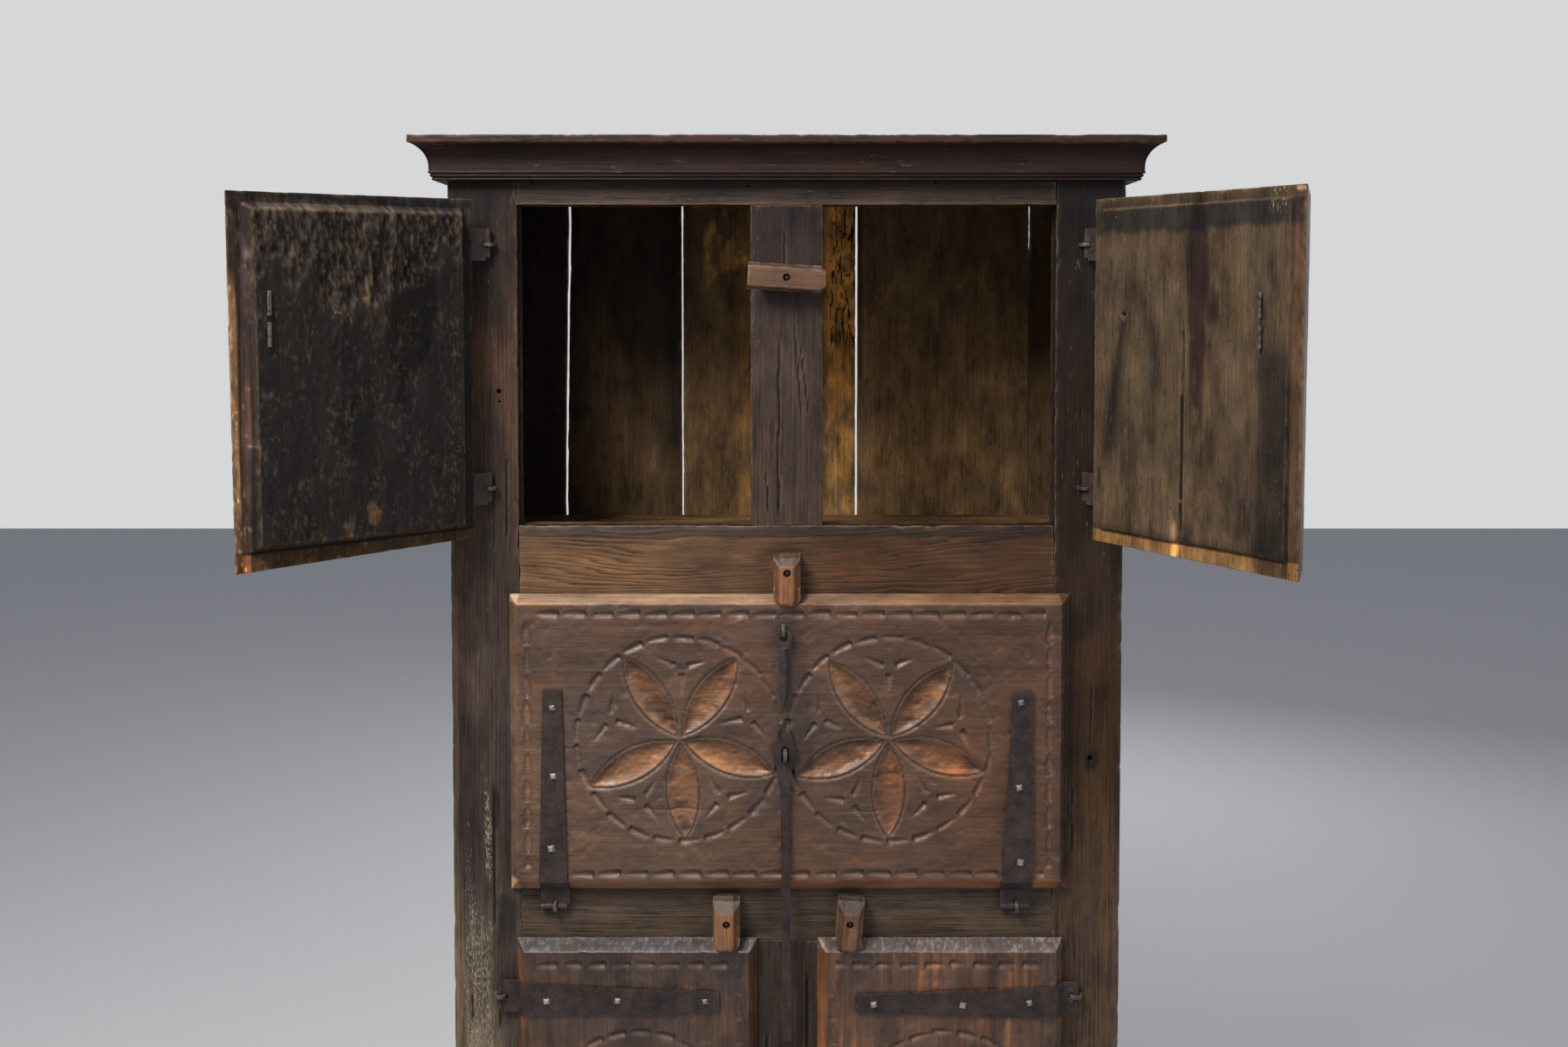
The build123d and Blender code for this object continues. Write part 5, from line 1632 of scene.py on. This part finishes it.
def cornice_run(node, place, low, high, mitre_low, mitre_high, seed):
    """One length of the moulding along X; a mitred end grows with the distance out."""
    section = cornice_section()
    count = len(section)
    rows = int((high - low) / 5)
    t = np.linspace(0, 1, rows + 1)[:, None]
    out, up = section[:, 0][None, :], section[:, 1][None, :]
    start = low - out * mitre_low
    stop = high + out * mitre_high
    x = start + (stop - start) * t
    out, up = np.broadcast_to(out, x.shape).copy(), np.broadcast_to(up, x.shape).copy()
    arc = np.concatenate([[0], np.cumsum(np.hypot(*np.diff(section, axis=0).T))])
    arc = np.broadcast_to(arc[None, :], x.shape)
    moulded = (out > CORNICE_FOOT - 1) * 1.0
    fillet = ease(HEIGHT - FILLET - 0.5, HEIGHT - FILLET + 0.6, up) * ease(44, 48, out)
    lower_arris = bell(up - (HEIGHT - FILLET), 2.2) * ease(42, 47, out)
    upper_arris = bell(up - HEIGHT, 2.4) * ease(40, 47, out)
    p = plane_points(x, arc)
    chips = unit(swell(p, (13, 40, 1), seed, 3) - 0.05)
    big = unit(swell(p, (60, 60, 1), seed + 1, 2) - 0.25)
    wear = 0.7 * drift(p, (120, 7, 1), seed + 2, 3) + drift(p, (60, 200, 1), seed + 7, 2)
    wear = wear * moulded
    out -= (wear + lower_arris * (4.5 * chips + 3 * big) + upper_arris * (3.5 * chips)
            + fillet * (0.4 + 1.3 * big))
    up = up + lower_arris * 3.2 * chips - upper_arris * (1.5 * chips + 0.4)
    verts = np.stack([x, up, out], axis=-1).reshape(-1, 3)
    index = np.arange(len(verts)).reshape(rows + 1, count)
    after = np.roll(index, -1, axis=1)
    quads = np.stack([index[:-1], index[1:], after[1:], after[:-1]], axis=-1).reshape(-1, 4).tolist()
    faces = quads + [tuple(index[0].tolist()), tuple(reversed(index[-1].tolist()))]
    grain = np.stack([x.ravel(), arc.ravel(), out.ravel() * 0.2],
                     axis=-1) * MM + np.array((seed * 0.37, 0.2, 0))
    rise, reach = up.ravel(), out.ravel()
    top_half = ease(HEIGHT - FILLET - 3, HEIGHT - FILLET + 1, rise) * ease(40, 47, reach)
    streak = drift(p.reshape(-1, 3), (220, 6, 1), seed + 4, 3)
    in_cove = ease(1946, 1951, rise) * ease(1990, 1985, rise)
    tint = tinted(
        verts,
        (1.0, (0.48, 0.32, 0.26)),
        (top_half * (0.55 + 0.45 * streak), (2.0, 2.0, 2.0)),
        (in_cove * 0.6 * ease(0.5, 0.75, streak), (1.7, 1.45, 1.2)),
        (in_cove * 0.4 * ease(0.5, 0.3, streak), (0.6, 0.58, 0.6)),
        (in_cove * 0.4 * ease(1970, 1990, rise), (0.7, 0.68, 0.68)),
    )
    bead_dirt = sum(bell(rise - y, 0.9) for y in (1938.3, 1943.2, 1948.0))
    marks = {
        "grain": grain,
        "worn": unit(0.9 * (lower_arris * chips + upper_arris * chips).ravel() * 2
                     + 0.4 * lower_arris.ravel()),
        "deep": unit(0.6 * bead_dirt * moulded.ravel()),
        "tint": tint * uneven(p.reshape(-1, 3), seed + 6, 0.2, (200, 30, 1)),
    }
    finished[node] = (make_object(node, verts, faces, place, marks, CORNICE_OAK), "carcass")


cornice_run("cornice_front", frame_of((0, -DEPTH, 0), (1, 0, 0), UP, (0, -1, 0)), -HALF, HALF, 1, 1, 111)
cornice_run("cornice_left", frame_of((-HALF, 0, 0), (0, 1, 0), UP, (-1, 0, 0)), -DEPTH, 0, 1, 0, 113)
cornice_run("cornice_right", frame_of((HALF, 0, 0), (0, 1, 0), UP, (1, 0, 0)), -DEPTH, 0, 1, 0, 115)


# ---- turn-buttons
# x and z of the pivot, the turn, arms up and down, facets down the left and right edges, and
# the run of the facet at the tail
BUTTONS = {
    "upper_button": (0, 1784, -86.5, (60, 60), (5, 7), None),
    "flap_button": (0.5, 1329, 0, (26, 51), (9, 11), 17),
    "lower_left_button": (-94, 779, 0, (37, 43), (4, 11), 20),
    "lower_right_button": (98.5, 779, 4.5, (37, 43), (12, 9), 20),
}
# colours of the front, of the left facet and of the right one
BUTTON_COLOURS = {
    "upper_button": ((0.75, 0.78, 0.86), (0.6, 0.62, 0.7), (0.6, 0.66, 0.8)),
    "flap_button": ((1.5, 1.35, 1.15), (0.55, 0.5, 0.48), (0.7, 0.62, 0.55)),
    "lower_left_button": ((1.7, 1.6, 1.35), (0.75, 0.74, 0.78), (0.45, 0.4, 0.36)),
    "lower_right_button": ((0.9, 0.92, 0.98), (0.6, 0.54, 0.5), (0.9, 0.8, 0.66)),
}
BUTTON_HALF, BUTTON_FRONT, BUTTON_BACK = 21, 38, 0.5
FACET_DEPTH, NOSE_BACK, NOSE_CORNER = 11, 29.8, 8
LIP = 1.2  # least thickness of a nose
TAIL_LEAN = 4  # the end of a tail leans back
HOLE_RADIUS, HOLE_DEPTH = 5.5, 6


def turn_button(node, x0, z0, turn, arms, facets, tail, seed):
    up, down = arms
    a = radians(turn)
    place = frame_of((x0, -DEPTH, z0), (cos(a), 0, -sin(a)), (sin(a), 0, cos(a)), (0, -1, 0))
    nose = 24 if tail else 41

    def under(y):
        """1 where the button is cut away behind, to lie over a door."""
        low = ease(-nose + 1.5, -nose, y)
        return low if tail else np.maximum(low, ease(nose - 1.5, nose, y))

    def front(x, y, d):
        p = plane_points(x, y)
        z = np.full_like(x, BUTTON_FRONT)
        wavy = 0.5 * swell(p, 14, seed, 2)
        z = np.minimum(z, BUTTON_FRONT - FACET_DEPTH * (1 - (d[0] + wavy) / facets[0]))
        z = np.minimum(z, BUTTON_FRONT - FACET_DEPTH * (1 - (d[1] + wavy) / facets[1]))
        z = np.maximum(z, BUTTON_FRONT - FACET_DEPTH)
        if tail:
            facet = FACET_DEPTH * (1 - (d[3] + wavy - TAIL_LEAN) / (tail - TAIL_LEAN))
            z = np.minimum(z, BUTTON_FRONT - facet)
            z = np.minimum(z, 3 + (BUTTON_FRONT - FACET_DEPTH - 3) * d[3] / TAIL_LEAN)
            z = np.minimum(z, BUTTON_FRONT - 2.5 * (1 - d[2] / 5))
        z = z - 0.4 * drift(p, (8, 40, 1), seed + 1, 3)
        z = z - 0.9 * unit(swell(p, 15, seed + 2, 2) - 0.2)
        z = np.where(under(y) > 0.5, np.maximum(z, NOSE_BACK + LIP), z)
        hole = np.hypot(x, y + 0.3 * swell(p, 8, seed + 3, 2))
        return z - HOLE_DEPTH * ease(HOLE_RADIUS + 0.5, HOLE_RADIUS - 0.4, hole)

    def back(x, y, d):
        return BUTTON_BACK + (NOSE_BACK - BUTTON_BACK) * under(y)

    def warp(x, y):
        cut = np.clip(NOSE_CORNER - (y + down), 0, NOSE_CORNER)
        share = (BUTTON_HALF - cut) / BUTTON_HALF
        return x * share, y

    def tint(v):
        x, y, z = v.T
        front, left, right = BUTTON_COLOURS[node]
        patches = [
            (1.0, front),
            (ease(facets[0] - BUTTON_HALF + 1, facets[0] - BUTTON_HALF - 1, x), left),
            (ease(BUTTON_HALF - facets[1] - 1, BUTTON_HALF - facets[1] + 1, x), right),
        ]
        if tail:
            slope = ease(up - tail - 1, up - tail + 2, y) * (z > 4)
            patches.append((slope * 0.9, (0.45, 0.72, 1.25)))
            patches.append((ease(up - TAIL_LEAN - 0.4, up - TAIL_LEAN + 0.3, y), (0.62, 0.72, 0.95)))
        patches.append((0.5 * spot(x, y, (6, -18), (8, 16), seed, 0.5), (1.3, 1.2, 1.0)))
        return tinted(v, *patches) * uneven(v, seed, 0.15, (20, 60, 20))

    def deep(v):
        hole = np.hypot(*v.T[:2])
        return ease(HOLE_RADIUS + 1.2, HOLE_RADIUS - 0.5, hole) * (v[:, 2] > 15)

    fine = np.linspace(-7, 7, 21)
    plank(node, node, rect(-BUTTON_HALF, BUTTON_HALF, -down, up), place, front, back, (1.8, 1.8),
          BUTTON_OAK, "y", seed, tint, deep, 0.4, back_every=2, extra_x=fine + BUTTON_HALF,
          extra_y=fine + down,
          lines=((facets[0],), (facets[1],), (), ((tail, 2.5, TAIL_LEAN) if tail else ())), arris=0.8,
          bite=0.7, bite_size=9,
          warp=warp, rim_rows=6)


for number, (node, placing) in enumerate(BUTTONS.items()):
    turn_button(node, *placing, 121 + number)


# ---- forged iron
SHARP = radians(24)


def slice_mesh(bm, axis, spacing):
    """Cuts the mesh by planes across one axis, so that long flat faces can be bent and dented."""
    values = [v.co[axis] for v in bm.verts]
    low, high = min(values), max(values)
    count = int((high - low) / spacing)
    normal = [0, 0, 0]
    normal[axis] = 1
    for k in range(1, count):
        point = [0, 0, 0]
        point[axis] = low + (high - low) * k / count
        bmesh.ops.bisect_plane(bm, geom=bm.verts[:] + bm.edges[:] + bm.faces[:], dist=1e-4, plane_co=point,
                               plane_no=normal)


def rubbed_and_lit_edges(bm):
    """1 at the vertices of eased arrises and 0 on flat faces: rubbed bare metal on every arris, with a
    painted highlight added where an arris faces up.
    """
    rubbed = []
    for vert in bm.verts:
        normals = [face.normal for face in vert.link_faces]
        turn = max((1 - normals[0].dot(n) for n in normals[1:]), default=0)
        rubbed.append(min(max(turn - 0.03, 0) / 0.15, 1)
                      * (0.25 + 0.75 * min(max(vert.normal.y * 1.6, 0), 1)))
    return np.array(rubbed)


def forge(node, body, place, spacing, seed, round_off=0.7, dent=0.3, handled=0.0):
    """A hand-forged copy of a CAD node: eased arrises and shallow hammer marks, never proud of it."""
    bm = bmesh.new()
    bm.from_mesh(bpy.data.objects[node].data)
    into = Matrix(np.linalg.inv(place).tolist()) @ Matrix.Scale(1 / MM, 4)
    bmesh.ops.transform(bm, matrix=into, verts=bm.verts)
    bmesh.ops.remove_doubles(bm, verts=bm.verts, dist=0.01)
    if np.linalg.det(place[:3, :3]) < 0:
        bmesh.ops.reverse_faces(bm, faces=bm.faces)
    bmesh.ops.dissolve_limit(bm, angle_limit=radians(1.5), verts=bm.verts, edges=bm.edges)
    sharp = [e for e in bm.edges if len(e.link_faces) == 2 and e.calc_face_angle(0) > SHARP]
    bmesh.ops.bevel(bm, geom=sharp, offset=round_off, segments=2, profile=0.6, affect="EDGES",
                    clamp_overlap=True)
    for axis in (0, 1):
        slice_mesh(bm, axis, spacing)
    bmesh.ops.triangulate(bm, faces=[f for f in bm.faces if len(f.verts) > 4])
    bm.normal_update()
    points = np.array([v.co for v in bm.verts])
    normals = np.array([v.normal for v in bm.verts])
    amount = dent * drift(points, 9, seed, 2) + dent * 0.8 * unit(swell(points, 22, seed + 1, 2))
    # rubbed: handling wear and rubbed arrises, with painted highlights on arrises that face up
    marks = {"rubbed": unit(handled + rubbed_and_lit_edges(bm))}
    points = points - normals * amount[:, None]
    faces = [tuple(v.index for v in f.verts) for f in bm.faces]
    bm.free()
    made = make_object(node, points, faces, place, marks, WROUGHT_IRON)
    made.data.set_sharp_from_angle(angle=radians(34))
    finished[node] = (made, body)


def forge_all():
    flap_place = FRONT
    for name, side in (("upper_left_door", 1), ("upper_right_door", -1), ("lower_left_door", 1),
                       ("lower_right_door", -1)):
        place = leaf_place(name, side)
        seed = 131 + 7 * len(finished)
        for position in ("lower", "upper"):
            forge(f"{name}_{position}_strap", name, place, 6, seed + len(position))
        pull = name.replace("_door", "_pull")
        forge(f"{pull}_staple", name, place, 4, seed + 3, 0.7, 0.15, 0.4)
        forge(pull, pull, place, 4, seed + 4, 0.7, 0.2, 0.25)
    for node, body, spacing, handled in (
        ("flap_left_strap", "flap", 6, 0), ("flap_right_strap", "flap", 6, 0),
        ("flap_pull_staple", "flap", 4, 0.5),
        ("hasp_staple", "flap", 4, 0.5), ("flap_pull", "flap_pull", 4, 0.1),
        ("locking_bar", "locking_bar", 6, 0),
        ("hinge_staples", "carcass", 7, 0.4), ("button_pivots", "carcass", 60, 0),
    ):
        forge(node, body, flap_place, spacing, 171 + len(finished), 0.6, 0.2 if spacing < 60 else 0.08,
              handled)


forge_all()


# ---- nail heads
NAIL_WIDTH, NAIL_HEIGHT = 9.6, 4.6


def random_value(tree, seed, low, high):
    made = add(tree, "FunctionNodeRandomValue", {"Seed": seed}, data_type="FLOAT")
    for socket in made.inputs:
        if socket.enabled and socket.name in ("Min", "Max"):
            socket.default_value = low if socket.name == "Min" else high
    return next(output for output in made.outputs if output.enabled)


def nail_tree():
    """Hand-cut nail heads, four-sided with a small flat top, on every point of a mesh."""
    tree = bpy.data.node_groups.new("nail_heads", "GeometryNodeTree")
    sizes = [("Head Width", "NodeSocketFloat", 0.009), ("Head Height", "NodeSocketFloat", 0.0036),
             ("Outwards", "NodeSocketVector", (0, -1, 0)), ("Seed", "NodeSocketInt", 1)]
    tree.interface.new_socket("Points", in_out="INPUT", socket_type="NodeSocketGeometry")
    for label, kind, default in sizes:
        tree.interface.new_socket(label, in_out="INPUT", socket_type=kind).default_value = default
    tree.interface.new_socket("Nails", in_out="OUTPUT", socket_type="NodeSocketGeometry")
    given = tree.nodes.new("NodeGroupInput").outputs
    half = times(tree, given["Head Width"], 0.7071)
    head = add(tree, "GeometryNodeMeshCone", {
        "Vertices": 4, "Side Segments": 2, "Fill Segments": 1, "Radius Top": times(tree, half, 0.42),
        "Radius Bottom": half, "Depth": given["Head Height"],
    }, fill_type="NGON")
    facing = add(tree, "FunctionNodeAlignRotationToVector", {"Vector": given["Outwards"]}, axis="Z")
    spin = random_value(tree, given["Seed"], 0.5, 1.07)
    turn = add(tree, "FunctionNodeAxisAngleToRotation", {"Axis": (0, 0, 1), "Angle": spin})
    turned = add(tree, "FunctionNodeRotateRotation", {0: facing.outputs[0], 1: turn.outputs[0]},
                 rotation_space="LOCAL")
    size = random_value(tree, plus(tree, given["Seed"], 5), 0.88, 1.1)
    placed = add(tree, "GeometryNodeInstanceOnPoints", {
        "Points": given["Points"], "Instance": head.outputs["Mesh"], "Rotation": turned.outputs[0],
        "Scale": size,
    })
    real = add(tree, "GeometryNodeRealizeInstances", {"Geometry": placed.outputs[0]})
    coloured = add(tree, "GeometryNodeSetMaterial", {"Geometry": real.outputs[0], "Material": BRIGHT_IRON})
    tree.links.new(coloured.outputs[0], tree.nodes.new("NodeGroupOutput").inputs["Nails"])
    return tree


NAILS = nail_tree()
STRAP_FACE = DOOR_FACE + 4


def nail_heads(name, body, place, points, seed):
    """Nail heads on a leaf's straps; points are x and y in the leaf's own frame."""
    local = np.array([(x, y, STRAP_FACE - 0.5) for x, y in points])
    world_points = (local @ place[:3, :3].T + place[:3, 3]) * MM
    mesh = bpy.data.meshes.new(name + "_points")
    mesh.from_pydata(world_points.tolist(), [], [])
    carrier = bpy.data.objects.new(name + "_points", mesh)
    scene.collection.objects.link(carrier)
    modifier = carrier.modifiers.new("nails", "NODES")
    modifier.node_group = NAILS
    values = {"Head Width": NAIL_WIDTH * MM, "Head Height": NAIL_HEIGHT * MM,
              "Outwards": tuple(place[:3, 2].tolist()), "Seed": seed}
    for item in NAILS.interface.items_tree:
        if item.in_out == "INPUT" and item.name in values:
            modifier[item.identifier] = values[item.name]
    depsgraph = bpy.context.evaluated_depsgraph_get()
    made_mesh = bpy.data.meshes.new_from_object(carrier.evaluated_get(depsgraph))
    carrier.modifiers.clear()
    bpy.data.objects.remove(carrier)
    made = bpy.data.objects.new(name, made_mesh)
    scene.collection.objects.link(made)
    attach(made, body)


FLAP_NAILS = [(-363, 1119), (-362, 1012), (-366, 898), (363, 1127), (361, 994), (363, 876)]
nail_heads("flap_nails", "flap", FRONT, FLAP_NAILS, 3)
DOOR_NAILS = {
    "lower_left_door": (1, (655, 262), ((76, 1), (187, 2), (323.5, 1))),
    "lower_right_door": (-1, (655, 262), ((77, -1.5), (181, -5), (320, -4))),
    "upper_left_door": (1, (1458, 1835), ((78, 1), (184, -2), (318, 1))),
    "upper_right_door": (-1, (1458, 1835), ((78, -1), (186, 2), (316, 1))),
}
for number, (node, (side, heights, nails)) in enumerate(DOOR_NAILS.items()):
    points = [(x, height + rise) for height in heights for x, rise in nails]
    nail_heads(node + "_nails", node, leaf_place(node, side), points, 11 + number)


# ---- riding, and the studio
for node, (piece, body) in finished.items():
    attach(piece, body)
    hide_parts(node)
for node_object in [o for o in bpy.data.objects if o.type == "MESH" and o.name in frame["nodes"]]:
    for slot in node_object.material_slots:
        slot.material = WROUGHT_IRON

floor_mesh = bpy.data.meshes.new("studio_floor")
floor_mesh.from_pydata([(-9, -9, 0), (9, -9, 0), (9, 9, 0), (-9, 9, 0)], [], [(0, 1, 2, 3)])
studio_floor = bpy.data.objects.new("studio_floor", floor_mesh)
scene.collection.objects.link(studio_floor)
floor_paint = bpy.data.materials.new("studio_floor")
floor_paint.use_nodes = True
floor_paint.node_tree.nodes["Principled BSDF"].inputs["Base Color"].default_value = (0.62, 0.62, 0.62, 1)
floor_paint.node_tree.nodes["Principled BSDF"].inputs["Roughness"].default_value = 0.9
floor_mesh.materials.append(floor_paint)

world = bpy.data.worlds.new("studio")
scene.world = world
world.use_nodes = True
tree = world.node_tree
tree.nodes.clear()
rays = tree.nodes.new("ShaderNodeLightPath").outputs
mirrored = math(tree, "MAXIMUM", rays["Is Glossy Ray"], rays["Is Transmission Ray"])
seen = math(tree, "MAXIMUM", rays["Is Camera Ray"], mirrored)
lit = add(tree, "ShaderNodeBackground", {"Color": (0.80, 0.86, 1.0, 1), "Strength": 0.26})
pale = add(tree, "ShaderNodeBackground", {"Color": (0.86, 0.87, 0.88, 1), "Strength": 0.78})
mixed = add(tree, "ShaderNodeMixShader", {0: seen, 1: lit.outputs[0], 2: pale.outputs[0]})
add(tree, "ShaderNodeOutputWorld", {"Surface": mixed.outputs[0]})


def lamp(name, place, target, size, watts, colour=(1, 1, 1)):
    light = bpy.data.lights.new(name, "AREA")
    light.shape = "RECTANGLE"
    light.size, light.size_y = size
    light.energy = watts
    light.color = colour
    made = bpy.data.objects.new(name, light)
    made.location = place
    made.rotation_euler = (Vector(target) - Vector(place)).to_track_quat("-Z", "Y").to_euler()
    scene.collection.objects.link(made)


lamp("key", (-1.3, -2.1, 3.5), (0, -0.3, 1.25), (1.1, 1.1), 125, (1.0, 0.98, 0.95))
lamp("fill", (2.6, -2.4, 1.9), (0, -0.3, 1.2), (1.8, 1.8), 22, (0.93, 0.96, 1.0))
lamp("rear", (1.4, 2.8, 2.6), (0, 0, 1.1), (1.8, 1.8), 45)

scene.view_settings.view_transform = "Standard"
